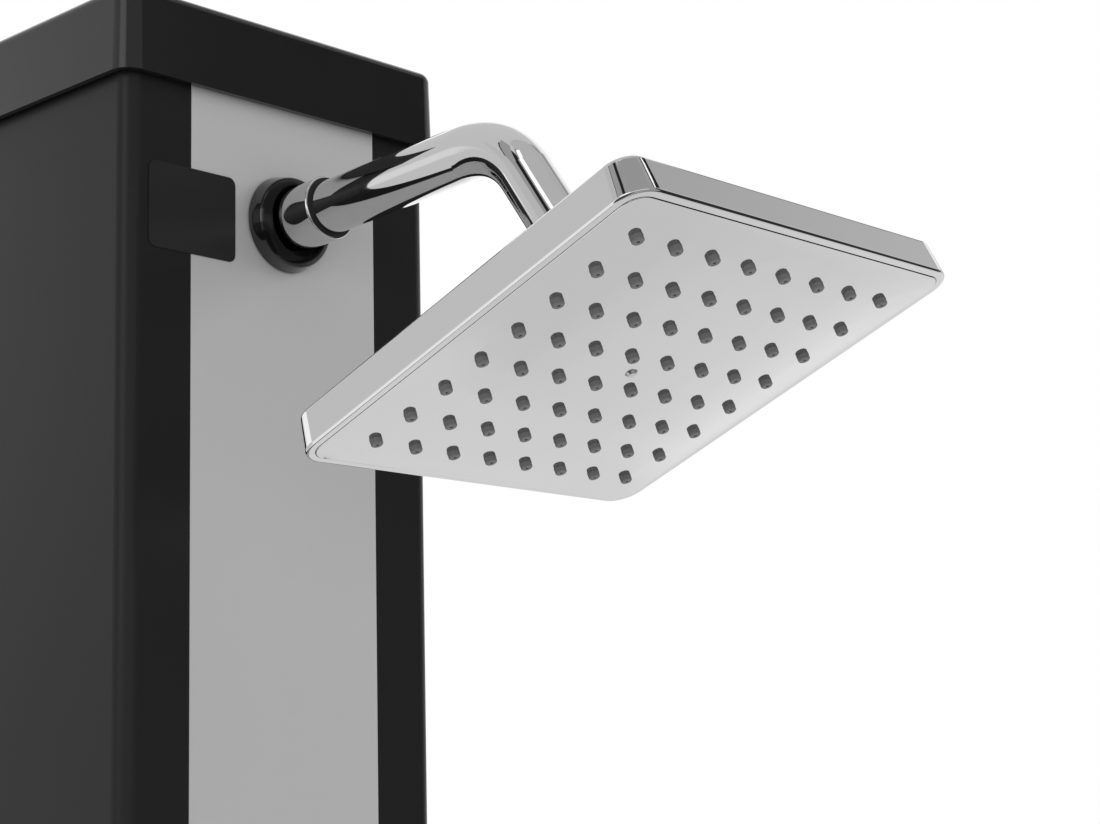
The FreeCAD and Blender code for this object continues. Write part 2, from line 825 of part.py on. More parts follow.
# Arm: tapered root, bend and straight leg, with a spigot that plugs into the wall flange.
def make_arm():
    bend_frame = frame("0", "-arm_bend_radius", "arm_run")
    leg_length = "arm_leg - ball_shoulder - ball_shoulder_wall"
    skins = []
    for shrink, start in (("0", "arm_start"), ("arm_wall", "arm_start + arm_end_wall")):
        radius = f"arm_radius - {shrink}"
        skins.append([
            cone(f"arm_root_radius - {shrink}", radius, f"arm_run - ({start})", frame(z=start)),
            bend("arm_bend_radius", radius, "arm_bend_angle", bend_frame),
            cylinder(radius, leg_length, leg_in_arm)])
    reach = "arm_start - spigot_start + arm_end_wall"
    spigot = cylinder("spigot_radius", reach, frame(z="spigot_start"))
    channel = cylinder("spigot_bore", f"{reach} + 2 * cut_over", frame(z="spigot_start - cut_over"))
    keep(cut(fuse(skins[0] + [spigot]), skins[1] + [channel]), "shower_arm", arm_frame)


def make_arm_fittings():
    collar = turned("collar", [
        ("flange_bore", "collar_start"), ("collar_radius", "collar_start"),
        ("collar_radius", "collar_end", "collar_edge"), ("flange_bore", "collar_end")])
    keep(collar, "arm_collar", arm_frame)
    groove = ring("groove", "flange_bore", "groove_radius", "collar_end", "arm_start")
    keep(groove, "arm_seal_ring", arm_frame)

    top = "flange_height + flange_crown_height"
    blank = turned("flange", [
        ("0", "-flange_tail_end"), ("flange_tail_radius", "-flange_tail_end"),
        ("flange_tail_radius", "flange_gasket_wall"), ("flange_back_radius", "flange_gasket_wall"),
        ("flange_radius", "flange_height"), Arc("flange_crown_radius", 1), ("flange_lip_radius", top),
        ("flange_dish_radius", top), ("flange_dish_floor_radius", "flange_dish_floor"),
        ("0", "flange_dish_floor")])
    tilted = frame(angle="-arm_rise")
    recess = cylinder("collar_radius + flange_recess_clearance", "collar_end",
                      tilted + " * " + frame(z="collar_start - hole_clearance"))
    bore = cylinder("flange_bore", "collar_end", tilted + " * " + frame(z="spigot_start - face_clearance"))
    rear_bore = cylinder("flange_bore", "flange_tail_length + cut_over",
                         frame(z="-flange_tail_end - cut_over"))
    waterway = cylinder("spigot_bore", "panel_wall + spigot_start + 2 * cut_over",
                        frame(z="-panel_wall - cut_over"))
    keep(cut(blank, [recess, bore, rear_bore, waterway]), "arm_flange", flange_frame)
    washer = ring("flange_gasket", "flange_tail_radius + hole_clearance", "flange_gasket_radius", "0",
                  "flange_gasket_wall")
    keep(washer, "arm_flange_gasket", flange_frame)
    nut_floor = "-panel_wall - lock_nut_height"
    nut = hexagon("lock_nut_radius", "lock_nut_height", frame(z=nut_floor))
    thread = cylinder("flange_tail_radius + thread_clearance", "lock_nut_height + 2 * cut_over",
                      frame(z=f"{nut_floor} - cut_over"))
    keep(cut(nut, [thread]), "arm_lock_nut", flange_frame)

    corner = frame(z="-pipe_depth")
    drop = frame(z="-pipe_depth", angle="90")
    skins = []
    for radius, over in (("spigot_radius", "0"), ("spigot_bore", "cut_over")):
        skins.append([cylinder(radius, f"pipe_depth - panel_wall + {over}", corner),
                      cylinder(radius, f"riser_leg + {over}", drop), ball(radius, corner)])
    keep(cut(fuse(skins[0]), skins[1]), "riser_elbow", flange_frame)


# Ball joint: the ball is fixed in the end of the arm, and the seal, the seat ring and the nut with
# the head turn about its centre.
def make_ball_joint():
    stub_end = "-ball_shoulder - ball_shoulder_wall - ball_stub_length"
    shoulder = "-ball_shoulder - ball_shoulder_wall"
    stub = "arm_radius - arm_wall - thread_clearance"
    neck = "ball_neck_radius"
    blank = turned("ball", [
        ("ball_bore", stub_end), (stub, stub_end), (stub, shoulder), ("arm_radius", shoulder),
        ("arm_radius", "-ball_shoulder"), (neck, "-ball_shoulder"),
        (neck, f"-sqrt(ball_radius ^ 2 - {neck} ^ 2)"), Arc("ball_radius", 1),
        ("ball_bore", "sqrt(ball_radius ^ 2 - ball_bore ^ 2)")])
    keep(blank, "swivel_ball", ball_frame)

    seat = turned("seat", [
        ("sqrt(ball_room ^ 2 - seat_drop ^ 2)", "-seat_drop"), ("seat_outer_radius", "-seat_drop"),
        ("seat_outer_radius", "seat_height"), ("sqrt(ball_room ^ 2 - seat_height ^ 2)", "seat_height"),
        Arc("ball_room", -1)])
    keep(seat, "swivel_seat_ring", head_frame)

    def polar(radius, angle):
        return (f"({radius}) * sin({angle})", f"({radius}) * cos({angle})")
    seal = turned("seal", [
        polar("ball_room", "seal_bottom_angle"), polar("seal_outer", "seal_bottom_angle"),
        Arc("seal_outer", 1), polar("seal_outer", "seal_top_angle"), polar("ball_room", "seal_top_angle"),
        Arc("ball_room", -1)])
    keep(seal, "swivel_seal", head_frame)

    nut_floor = "head_top + swivel_nut_gap"
    bore = "boss_radius + thread_clearance"
    seat_room = "seat_outer_radius + thread_clearance"
    flare = "(swivel_nut_top - nut_roof) * tan(swivel_cone_angle)"
    nut = turned("swivel_nut", [
        (bore, nut_floor), ("swivel_nut_radius", nut_floor),
        ("swivel_nut_radius", "swivel_nut_top", "swivel_nut_edge"),
        (f"swivel_mouth + {flare}", "swivel_nut_top"), ("swivel_mouth", "nut_roof"), (seat_room, "nut_roof"),
        (seat_room, "boss_rim"), (bore, "boss_rim")])
    height = f"swivel_nut_top - ({nut_floor})"
    flats = common(nut, hexagon("swivel_flat_radius", height, frame(z=nut_floor)))
    keep(flats, "swivel_nut", head_frame)


# A curved sheet that hangs down by the dome in its middle and rises to its sides with the fourth
# power. The odd rows of poles pull it down, each by four times the dome.
def pillow(half, dome, low, wall):
    degree = 4
    surface = Part.BezierSurface()
    surface.increase(degree, degree)
    for column in range(degree + 1):
        for line in range(degree + 1):
            drop = 4 * dome if column % 2 and line % 2 else 0
            x, y = ((2 * index / degree - 1) * half for index in (column, line))
            surface.setPole(column + 1, line + 1, FreeCAD.Vector(x, y, low - drop))
    return surface.toShape().extrude(FreeCAD.Vector(0, 0, wall))


def nozzle_places():
    pitch = number("nozzle_pitch")
    count = round(number("nozzle_count"))
    offsets = [(index - (count - 1) / 2) * pitch for index in range(count)]
    return [(x, y) for x in offsets for y in offsets]


def dome_drop(x, y):
    half = number("plate_half")
    return number("plate_dome") * (1 - (x / half) ** 4) * (1 - (y / half) ** 4)


def prism_shape(half, corner, low, high):
    block = Part.makeBox(2 * half, 2 * half, high - low, FreeCAD.Vector(-half, -half, low))
    uprights = [edge for edge in block.Edges if edge.BoundBox.ZLength > (high - low) / 2]
    return block.makeFillet(corner, uprights)


def upright(radius, far_radius, low, high, x, y):
    if radius == far_radius:
        return Part.makeCylinder(radius, high - low, FreeCAD.Vector(x, y, low))
    return Part.makeCone(radius, far_radius, high - low, FreeCAD.Vector(x, y, low))


# Rain head: drafted square hood with the inlet boss, domed face plate and silicone nozzle mat.
def make_head():
    body = body_named("head")
    outer = rounded_square("head_half", "head_corner")
    pad(body, [outer], "head_wall_height", "head_base", draft="-head_draft")
    fillet(body, "head_edge_radius", lambda edge: level(edge, number("head_top")))
    fillet(body, "head_rim_radius", lambda edge: level(edge, number("head_base")))
    recess = rounded_square("recess_half", "recess_corner")
    chamber = rounded_square("chamber_half", "recess_corner - head_ledge / 2")
    pocket(body, [recess], "plate_recess", "head_base + plate_recess")
    pocket(body, [chamber], "head_wall_height - head_roof - plate_recess", "head_top - head_roof")
    boss = cylinder("boss_radius", "boss_rim - head_top + head_roof", frame(z="head_top - head_roof"))
    post = cylinder("head_post_radius", "head_top - head_roof - post_floor", frame(z="post_floor"))
    socket = ball("boss_socket")
    way_x = "head_post_radius + ball_bore + head_way_wall"
    way_floor = "head_top - head_roof - cut_over"
    ways = [cylinder("ball_bore", f"boss_rim - ({way_floor})", frame(f"{sign} * ({way_x})", "0", way_floor))
            for sign in (-1, 1)]
    thread = cylinder("head_screw_radius + thread_clearance", "head_screw_grip + cut_over",
                      frame(z="post_floor - cut_over"))
    keep(cut(fuse([body, boss, post]), [socket, thread] + ways), "head_body", head_frame)


def make_face():
    base = number("face_base")
    half, wall, dome = number("plate_half"), number("plate_wall"), number("plate_dome")
    corner = number("recess_corner - plate_gap")
    over = number("cut_over")
    lift, mat_wall = number("mat_lift"), number("mat_wall")
    sheet_low, sheet_high = base - dome - over, base + wall + over
    mat_high = base + lift + mat_wall + over
    hole = number("nozzle_radius + nozzle_clearance")
    screw_hole = number("head_screw_radius + thread_clearance")
    places = nozzle_places()

    plate = pillow(half, dome, base, wall).common(prism_shape(half, corner, sheet_low, sheet_high))
    rounding = number("plate_edge_radius")
    border = [edge for edge in plate.Edges if edge.BoundBox.ZMax < base + rounding]
    plate = plate.makeFillet(rounding, border)
    holes = [upright(hole, hole, sheet_low, sheet_high, x, y) for x, y in places]
    holes.append(upright(screw_hole, screw_hole, sheet_low, sheet_high, 0, 0))
    face = fresh("Part::Feature", "head_face_plate")
    face.Shape = plate.cut(holes)
    keep(face, "head_face_plate", head_frame)

    mat_prism = prism_shape(number("mat_half"), number("mat_corner"), sheet_low, mat_high)
    blank = pillow(half, dome, base + lift, mat_wall).common(mat_prism)
    tip, root, bore = number("nozzle_tip_radius"), number("nozzle_radius"), number("nozzle_bore")
    tip_edge = number("nozzle_tip_edge")
    post_hole = number("head_post_radius + nozzle_clearance")
    tips, bores = [], []
    for x, y in places:
        surface = base - dome_drop(x, y)
        low = surface - number("nozzle_reach")
        tips.append(upright(tip - tip_edge, tip, low, low + tip_edge, x, y))
        tips.append(upright(tip, root, low + tip_edge, surface, x, y))
        tips.append(upright(root, root, surface, surface + lift + mat_wall / 2, x, y))
        bores.append(upright(bore, bore, low - over, mat_high, x, y))
    bores.append(upright(post_hole, post_hole, sheet_low, mat_high, 0, 0))
    mat = fresh("Part::Feature", "nozzle_mat")
    mat.Shape = blank.fuse(tips).cut(bores)
    keep(mat, "nozzle_mat", head_frame)

    gasket = body_named("gasket")
    low = "head_base + plate_recess - gasket_wall"
    edge = rounded_square("plate_half", "recess_corner - plate_gap")
    inner = rounded_square("plate_half - gasket_width", "recess_corner - plate_gap - gasket_width")
    pad(gasket, [edge, inner], "gasket_wall", low)
    keep(gasket, "head_gasket", head_frame)

    under = "face_base - plate_dome - face_clearance"
    crown = f"{under} - head_screw_head_height"
    end = "post_floor + head_screw_grip - cut_over"
    fastener = turned("head_screw", [
        ("0", crown), ("head_screw_face_radius", crown), ("head_screw_head_radius", under),
        ("head_screw_radius", under), ("head_screw_radius", end), ("0", end)])
    keep(fastener, "head_centre_screw", head_frame)


# Tank: two welded end plates, sealed pipe passages and a drain at the back.
def make_tank():
    ends = (("tank_bottom_plate", "tank_floor - tank_plate_wall"), ("tank_top_plate", "tank_roof"))
    for label, height in ends:
        body = body_named(label)
        gap = "tank_plate_clearance"
        outline = rounded_rectangle(f"inner_half - {gap}", f"partition_back + {gap}", f"rear_inner - {gap}",
                                    f"tank_corner - {gap}")
        pad(body, [outline], "tank_plate_wall")
        keep(body, label, frame(z=height))

    grip = "pipe_radius + thread_clearance"
    neck = "grommet_neck_radius - thread_clearance"
    flange = "grommet_flange_radius"
    low, high = "-grommet_flange_wall", "partition_wall + grommet_flange_wall"
    seals = []
    for x, z in tank_passages:
        seal = turned("grommet", [
            (grip, low), (flange, low), (flange, "0"), (neck, "0"), (neck, "partition_wall"),
            (flange, "partition_wall"), (flange, high), (grip, high)])
        seals.append(bind(seal, Placement=frame(x, "partition_front", z, angle="-90")))
    keep(group(seals), "tank_grommets")

    inside = "-column_wall - drain_bushing_flange_wall"
    bushing = turned("drain_bushing", [
        ("drain_bore", inside), ("drain_bushing_flange", inside), ("drain_bushing_flange", "-column_wall"),
        ("drain_bushing_radius", "-column_wall"), ("drain_bushing_radius", "drain_bushing_reach"),
        ("drain_bore", "drain_bushing_reach")])
    keep(bushing, "drain_bushing", drain_frame)
    seat = "drain_bushing_reach + drain_seal_wall"
    shank = "drain_bore - thread_clearance"
    hole = "drain_bore + thread_clearance"
    washer = ring("drain_seal", hole, "drain_bushing_radius", "drain_bushing_reach", seat)
    keep(washer, "drain_seal", drain_frame)
    knob = turned("drain_knob", [
        ("0", inside), (shank, inside), (shank, seat), ("drain_head_radius", seat),
        ("drain_head_radius", f"{seat} + drain_head_height / 2"), ("0", f"{seat} + drain_head_height / 2")])
    reach = "drain_head_radius - drain_wing_inset"
    wing = box(f"2 * ({reach})", "drain_wing_width", "drain_head_height / 2 + drain_wing_height",
               f"-({reach})", "-drain_wing_width / 2", seat)
    keep(fuse([knob, wing]), "drain_plug", drain_frame)


# Water inlet on the left side: hose nipple with a spring check valve, and the tee behind it.
def make_inlet():
    seat = "-inlet_tail_length + inlet_chamber_depth"
    thread_end = "inlet_gasket_wall + inlet_flange_wall + inlet_thread_length"
    collar = "inlet_gasket_wall + inlet_flange_wall"
    nipple = turned("nipple", [
        ("inlet_chamber_radius", "-inlet_tail_length"), ("inlet_tail_radius", "-inlet_tail_length"),
        ("inlet_tail_radius", "inlet_gasket_wall"), ("inlet_flange_radius", "inlet_gasket_wall"),
        ("inlet_flange_radius", collar), ("inlet_thread_radius", collar),
        ("inlet_thread_radius", f"{thread_end} - inlet_thread_chamfer"),
        ("inlet_thread_radius - inlet_thread_chamfer", thread_end),
        ("inlet_bore", thread_end), ("inlet_bore", seat), ("inlet_chamber_radius", seat)])
    keep(nipple, "hose_inlet_nipple", inlet_frame)
    washer = ring("inlet_gasket", "inlet_tail_radius + hole_clearance", "inlet_gasket_radius", "0",
                  "inlet_gasket_wall")
    keep(washer, "inlet_gasket", inlet_frame)
    nut_floor = "-column_wall - inlet_nut_height"
    nut = hexagon("inlet_nut_radius", "inlet_nut_height", frame(z=nut_floor))
    thread = cylinder("inlet_tail_radius + thread_clearance", "inlet_nut_height + 2 * cut_over",
                      frame(z=f"{nut_floor} - cut_over"))
    keep(cut(nut, [thread]), "inlet_lock_nut", inlet_frame)

    disc_top = f"{seat} - poppet_gap"
    disc_low = f"{disc_top} - poppet_wall"
    stem_end = f"{disc_low} - poppet_stem_length"
    poppet = turned("poppet", [
        ("0", stem_end), ("poppet_stem_radius", stem_end), ("poppet_stem_radius", disc_low),
        ("poppet_radius", disc_low), ("poppet_radius", disc_top), ("0", disc_top)])
    keep(poppet, "check_valve_poppet", inlet_frame)
    make_spring(disc_low)

    mouth = f"{nut_floor} - tee_mouth_gap"
    middle = "-tee_offset"
    branches = ((frame(z=middle, axis="0; 1; 0", angle="90"), "tee_reach"),
                (frame(z=middle, angle="-90"), "tee_back_reach"))
    end = "-tee_offset - tee_radius"
    solid = [cylinder("tee_radius", f"{mouth} - ({end})", frame(z=end))]
    hollow = [
        cylinder("inlet_tail_radius + thread_clearance", f"inlet_tail_length + {mouth} + cut_over",
                 frame(z="-inlet_tail_length - face_clearance")),
        cylinder("tee_bore", "tee_offset", frame(z=middle))]
    for turn, reach in branches:
        solid.append(cylinder("pipe_radius + fitting_wall", reach, turn))
        hollow.append(cylinder("tee_bore", reach, turn))
        hollow.append(cylinder("pipe_radius + thread_clearance", "pipe_socket_depth + cut_over",
                               turn + " * " + frame(z=f"{reach} - pipe_socket_depth")))
    keep(cut(fuse(solid), hollow), "inlet_tee", inlet_frame)


# Return spring of the check valve: quarter turns of a helix as arcs, swept by the wire.
def make_spring(disc_low):
    radius, wire = number("spring_radius"), number("spring_wire_radius")
    gap = number("spring_end_gap")
    low = number("-inlet_tail_length") + wire + gap
    high = number(disc_low) - wire - gap
    quarters = 4 * round(number("spring_turns"))
    pitch = (high - low) / (quarters / 4)

    def on_helix(turn):
        angle = 2 * math.pi * turn
        return FreeCAD.Vector(radius * math.cos(angle), radius * math.sin(angle), low + pitch * turn)
    edges = [Part.Arc(on_helix(step / 4), on_helix((step + 0.5) / 4), on_helix((step + 1) / 4)).toShape()
             for step in range(quarters)]
    path = Part.Wire(edges)
    along = edges[0].tangentAt(edges[0].FirstParameter)
    section = Part.Wire(Part.Circle(on_helix(0), along, wire).toShape())
    spring = fresh("Part::Feature", "check_valve_spring")
    spring.Shape = path.makePipeShell([section], True, False)
    print("check_valve_spring least gap to itself", round(pitch - 2 * wire, 3), "volume share",
          round(spring.Shape.Volume / (math.pi * wire ** 2 * path.Length), 4))
    keep(spring, "check_valve_spring", inlet_frame)


def make_pipes():
    tee_top = "inlet_height + tee_reach - pipe_socket_depth"
    nipple = "(mixer_nipple_reach - pipe_socket_depth)"
    inside = "partition_back + pipe_tank_reach"
    pipe("cold_pipe", [("cold_x", "pipe_y", tee_top), ("cold_x", "pipe_y", "mixer_height"),
                       (f"-{nipple}", "pipe_y", "mixer_height")], ["pipe_bend_radius"])
    pipe("hot_pipe", [("hot_x", inside, "hot_height"), ("hot_x", "pipe_y", "hot_height"),
                      ("hot_x", "pipe_y", "mixer_height"), (nipple, "pipe_y", "mixer_height")],
         ["pipe_tank_bend_radius", "pipe_bend_radius"])
    pipe("tank_fill_pipe", [("cold_x", "pipe_y + tee_back_reach - pipe_socket_depth", "inlet_height"),
                            ("cold_x", inside, "inlet_height")], [])
    hose = ring("hose", "hose_bore", "hose_radius", "hose_bottom", "hose_top")
    keep(hose, "riser_hose", frame("0", "pipe_y"))
    clamps = []
    grip = "hose_radius + thread_clearance"
    for low in ("hose_bottom + hose_clamp_inset", "hose_top - hose_clamp_inset - hose_clamp_height"):
        clamp = ring("clamp", grip, f"{grip} + hose_clamp_wall", low, f"{low} + hose_clamp_height")
        clamps.append(bind(clamp, Placement=frame("0", "pipe_y")))
    keep(group(clamps), "hose_clamps")

    clips = []
    spans = (("cold_x", tee_top, "mixer_height"), ("hot_x", "mixer_height", "hot_height"))
    for x, low, high in spans:
        for share in (1, 3):
            middle = f"{low} + ({high} - ({low})) * {share} / 4"
            block = box("clip_width", "partition_front - pipe_y + clip_grip", "clip_height",
                        f"{x} - clip_width / 2", "pipe_y - clip_grip", middle)
            saddle = cylinder("pipe_radius + thread_clearance", "clip_height + 2 * cut_over",
                              frame(x, "pipe_y", f"{middle} - cut_over"))
            clips.append(cut(block, [saddle]))
    keep(group(clips), "pipe_clips")


# Single lever mixer: brass body behind the panel, ceramic cartridge, clamp nut, shroud and lever.
def make_mixer():
    back = "-pipe_depth"
    floor = "-pipe_depth - mixer_body_back"
    port_length = "pipe_depth + cartridge_floor + cut_over"
    solid = [
        cylinder("mixer_body_radius", "pipe_depth + mixer_body_back - panel_wall", frame(z=floor)),
        cylinder("mixer_neck_radius", f"mixer_neck_reach - ({floor})", frame(z=floor)),
        cylinder("spigot_radius", "mixer_outlet_reach", frame(z=back, angle="-90"))]
    hollow = [
        cylinder("cartridge_radius + face_clearance", "mixer_neck_reach - cartridge_floor + cut_over",
                 frame(z="cartridge_floor")),
        cylinder("spigot_bore", "mixer_outlet_reach", frame("0", "spigot_bore", back, angle="-90"))]
    start = "mixer_inlet_start"
    for sign in (-1, 1):
        outward = frame(f"{sign} * {start}", "0", back, "0; 1; 0", f"{sign} * 90")
        solid.append(cylinder("pipe_radius + fitting_wall", f"mixer_nipple_reach - {start}", outward))
        hollow.append(cylinder("tee_bore", "mixer_nipple_reach", outward))
        socket = outward + " * " + frame(z=f"mixer_nipple_reach - pipe_socket_depth - {start}")
        hollow.append(cylinder("pipe_radius + thread_clearance", "pipe_socket_depth + cut_over", socket))
    hollow += [cylinder("mixer_port_radius", port_length, frame(x, y, back)) for x, y in mixer_ports]
    keep(cut(fuse(solid), hollow), "mixer_body", mixer_frame)

    escutcheon = turned("escutcheon", [
        ("mixer_neck_radius + hole_clearance", "0"), ("escutcheon_radius", "0"),
        ("escutcheon_radius", "escutcheon_height", "escutcheon_edge_radius"),
        ("mixer_neck_radius + hole_clearance", "escutcheon_height")])
    keep(escutcheon, "mixer_escutcheon", mixer_frame)

    roof = "cartridge_top - cartridge_roof"
    keep(turned("cartridge", [
        ("cartridge_bore", "cartridge_floor"), ("cartridge_radius", "cartridge_floor"),
        ("cartridge_radius", "cartridge_top"), ("cartridge_mouth", "cartridge_top"),
        ("cartridge_mouth", roof), ("cartridge_bore", roof)]), "mixer_cartridge", mixer_frame)
    grip = "mixer_neck_radius + thread_clearance"
    nut_under = "cartridge_top + face_clearance"
    nut_top = f"{nut_under} + clamp_nut_roof"
    keep(turned("clamp_nut", [
        (grip, "escutcheon_height"), (f"{grip} + clamp_nut_wall", "escutcheon_height"),
        (f"{grip} + clamp_nut_wall", nut_top), ("clamp_nut_mouth", nut_top), ("clamp_nut_mouth", nut_under),
        (grip, nut_under)]), "mixer_clamp_nut", mixer_frame)

    disc_floor = "cartridge_floor + face_clearance"
    disc = cylinder("cartridge_bore - face_clearance", "fixed_disc_wall", frame(z=disc_floor))
    ports = [cylinder("disc_port_radius", "2 * fixed_disc_wall", frame(x, y, f"{disc_floor} - cut_over"))
             for x, y in mixer_ports]
    keep(cut(disc, ports), "mixer_fixed_disc", mixer_frame)
    slider = cylinder("moving_disc_radius", "moving_disc_wall", frame(z="moving_disc_floor"))
    pocket_hole = cylinder("moving_disc_pocket", "moving_disc_pocket_depth + cut_over",
                           frame(z="moving_disc_top - moving_disc_pocket_depth"))
    mixing = cylinder("mixing_recess_radius", "mixing_recess_depth + cut_over",
                      frame(z="moving_disc_floor - cut_over"))
    keep(cut(slider, [pocket_hole, mixing]), "mixer_moving_disc", mixer_frame)
    make_mixer_handle()


def make_mixer_handle():
    rotor = [
        cylinder("turret_radius", "turret_shoulder - turret_floor", frame(z="turret_floor")),
        cylinder("turret_neck_radius", "turret_neck_reach - turret_floor", frame(z="turret_floor"))]
    width = "stem_width + 2 * stem_clearance"
    narrow = "stem_width / 2 + 3 * stem_clearance"

    # Room for the stem from its pivot to the given height, on the side that it leans to.
    def lean(height):
        half_width = "stem_width / 2 / cos(lever_lift)"
        return f"abs({height} - pivot_height) * tan(lever_lift) + {half_width} + stem_clearance"
    upper = lean("turret_neck_reach")
    lower = lean("turret_floor")
    rise = "turret_slot_overlap + cut_over"
    slots = [
        box(width, f"{narrow} + {upper}", f"turret_neck_reach - pivot_height + {rise}", f"-({width}) / 2",
            f"-({narrow})", "pivot_height - turret_slot_overlap"),
        box(width, f"{narrow} + {lower}", f"pivot_height - turret_floor + {rise}", f"-({width}) / 2",
            f"-({lower})", "turret_floor - cut_over")]
    pin_place = frame("-pivot_pin_length / 2", "0", "pivot_height", "0; 1; 0", "90")
    fit = "thread_clearance"
    pin_hole = cylinder(f"pivot_pin_radius + {fit}", f"pivot_pin_length + {fit}", pin_place)
    keep(cut(fuse(rotor), slots + [pin_hole]), "mixer_turret", mixer_frame)
    pin = cylinder("pivot_pin_radius", "pivot_pin_length")
    keep(pin, "mixer_pivot_pin", mixer_frame + " * " + pin_place)

    half = "stem_width / 2"
    bar = box("stem_width", "stem_width", "stem_top - stem_floor", f"-{half}", f"-{half}", "stem_floor")
    finger = cylinder("stem_finger_radius", "pivot_height - stem_finger_end", frame(z="stem_finger_end"))
    keep(cut(fuse([bar, finger]), [pin_hole]), "mixer_stem", mixer_frame)

    def on_sphere(radius, angle):
        return (f"({radius}) * sin({angle})", f"pivot_height + ({radius}) * cos({angle})")

    def at_height(radius, height):
        return (f"sqrt(({radius}) ^ 2 - ({height} - pivot_height) ^ 2)", height)
    low = "escutcheon_height + shroud_gap"
    inner = "shroud_radius - shroud_wall"
    keep(turned("shroud", [
        at_height(inner, low), at_height("shroud_radius", low), Arc("shroud_radius", 1),
        on_sphere("shroud_radius", "shroud_mouth_angle"), on_sphere(inner, "shroud_mouth_angle"),
        Arc(inner, -1)]), "mixer_shroud", mixer_frame)

    hub = "lever_hub_radius"
    cap = turned("lever_cap", [
        on_sphere("lever_cap_inner", "0"), Arc("lever_cap_inner", -1),
        on_sphere("lever_cap_inner", "lever_cap_angle"), on_sphere("lever_cap_outer", "lever_cap_angle"),
        Arc("lever_cap_outer", 1), (hub, f"pivot_height + sqrt(lever_cap_outer ^ 2 - {hub} ^ 2)"),
        (hub, "lever_hub_top"), ("0", "lever_hub_top")])
    grip = body_named("lever_bar")
    tip_radius = "lever_bar_tip_width / 2"
    tip = f"lever_bar_length - {tip_radius}"
    top = "lever_hub_top - lever_bar_inset"
    floor = f"{top} - lever_bar_wall"
    outline = [("-lever_bar_width / 2", "0"), (f"-{tip_radius}", f"-({tip})"), Arc(tip_radius, 1),
               ("0", "-lever_bar_length"), Arc(tip_radius, 1), (tip_radius, f"-({tip})"),
               ("lever_bar_width / 2", "0")]
    pad(grip, [outline], "lever_bar_wall", floor)
    fillet(grip, "lever_edge_radius", lambda edge: level(edge, number(top)) or level(edge, number(floor)))
    corner = "-(stem_width / 2 + thread_clearance)"
    width = "stem_width + 2 * thread_clearance"
    socket = box(width, width, "stem_top - pivot_height + thread_clearance", corner, corner, "pivot_height")
    index_place = frame(z="lever_hub_top - index_wall + index_proud")
    index_seat = cylinder("index_radius + thread_clearance", "index_wall", index_place)
    set_place = frame("0", "stem_width / 2 + set_screw_gap", "stem_top - set_screw_drop", angle="-90")
    set_hole = cylinder("set_screw_radius + thread_clearance", "lever_hub_radius", set_place)
    keep(cut(fuse([cap, grip]), [socket, index_seat, set_hole]), "mixer_lever", mixer_frame)
    keep(cylinder("index_radius", "index_wall"), "mixer_index_plug", mixer_frame + " * " + index_place)
    set_screw = cylinder("set_screw_radius", "set_screw_length")
    keep(set_screw, "mixer_set_screw", mixer_frame + " * " + set_place)


make_column()
make_panel()
make_cap()
make_base()
make_screws()
make_label()
make_arm()
make_arm_fittings()
make_ball_joint()
make_head()
make_face()
make_tank()
make_inlet()
make_pipes()
make_mixer()
doc.removeObject(gauge.Name)
doc.recompute()

failed = [thing.Label for thing in doc.Objects if "Invalid" in thing.State or "Error" in thing.State]
failed += [node.Label for node in nodes if node.Shape.isNull() or not node.Shape.isValid()]
if failed:
    raise SystemExit("failed: " + ", ".join(failed))

os.makedirs("parts", exist_ok=True)
for node in nodes:
    node.Shape.exportStep(f"parts/{node.Label}.step")
    print(node.Label, len(node.Shape.Solids), round(node.Shape.Volume, 1))
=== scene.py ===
import json
import math

import bpy
from mathutils import Matrix, Vector


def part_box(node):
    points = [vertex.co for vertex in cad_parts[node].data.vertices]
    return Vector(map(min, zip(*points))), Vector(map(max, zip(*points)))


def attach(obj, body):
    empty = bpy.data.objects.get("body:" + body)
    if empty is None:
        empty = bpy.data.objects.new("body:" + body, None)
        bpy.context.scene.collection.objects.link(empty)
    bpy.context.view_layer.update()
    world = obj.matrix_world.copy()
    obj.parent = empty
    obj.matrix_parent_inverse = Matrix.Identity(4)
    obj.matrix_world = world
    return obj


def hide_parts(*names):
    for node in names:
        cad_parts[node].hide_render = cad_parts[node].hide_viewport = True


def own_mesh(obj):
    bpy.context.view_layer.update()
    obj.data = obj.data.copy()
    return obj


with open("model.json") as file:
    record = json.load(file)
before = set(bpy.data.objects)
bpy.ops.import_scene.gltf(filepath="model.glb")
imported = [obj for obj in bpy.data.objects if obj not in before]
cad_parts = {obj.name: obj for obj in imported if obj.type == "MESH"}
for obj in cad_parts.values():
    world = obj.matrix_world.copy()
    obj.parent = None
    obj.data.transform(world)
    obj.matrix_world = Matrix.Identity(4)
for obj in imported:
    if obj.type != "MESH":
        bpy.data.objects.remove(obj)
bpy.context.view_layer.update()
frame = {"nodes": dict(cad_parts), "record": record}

nodes = frame["nodes"]
print("frame loaded:", len(nodes), "nodes")


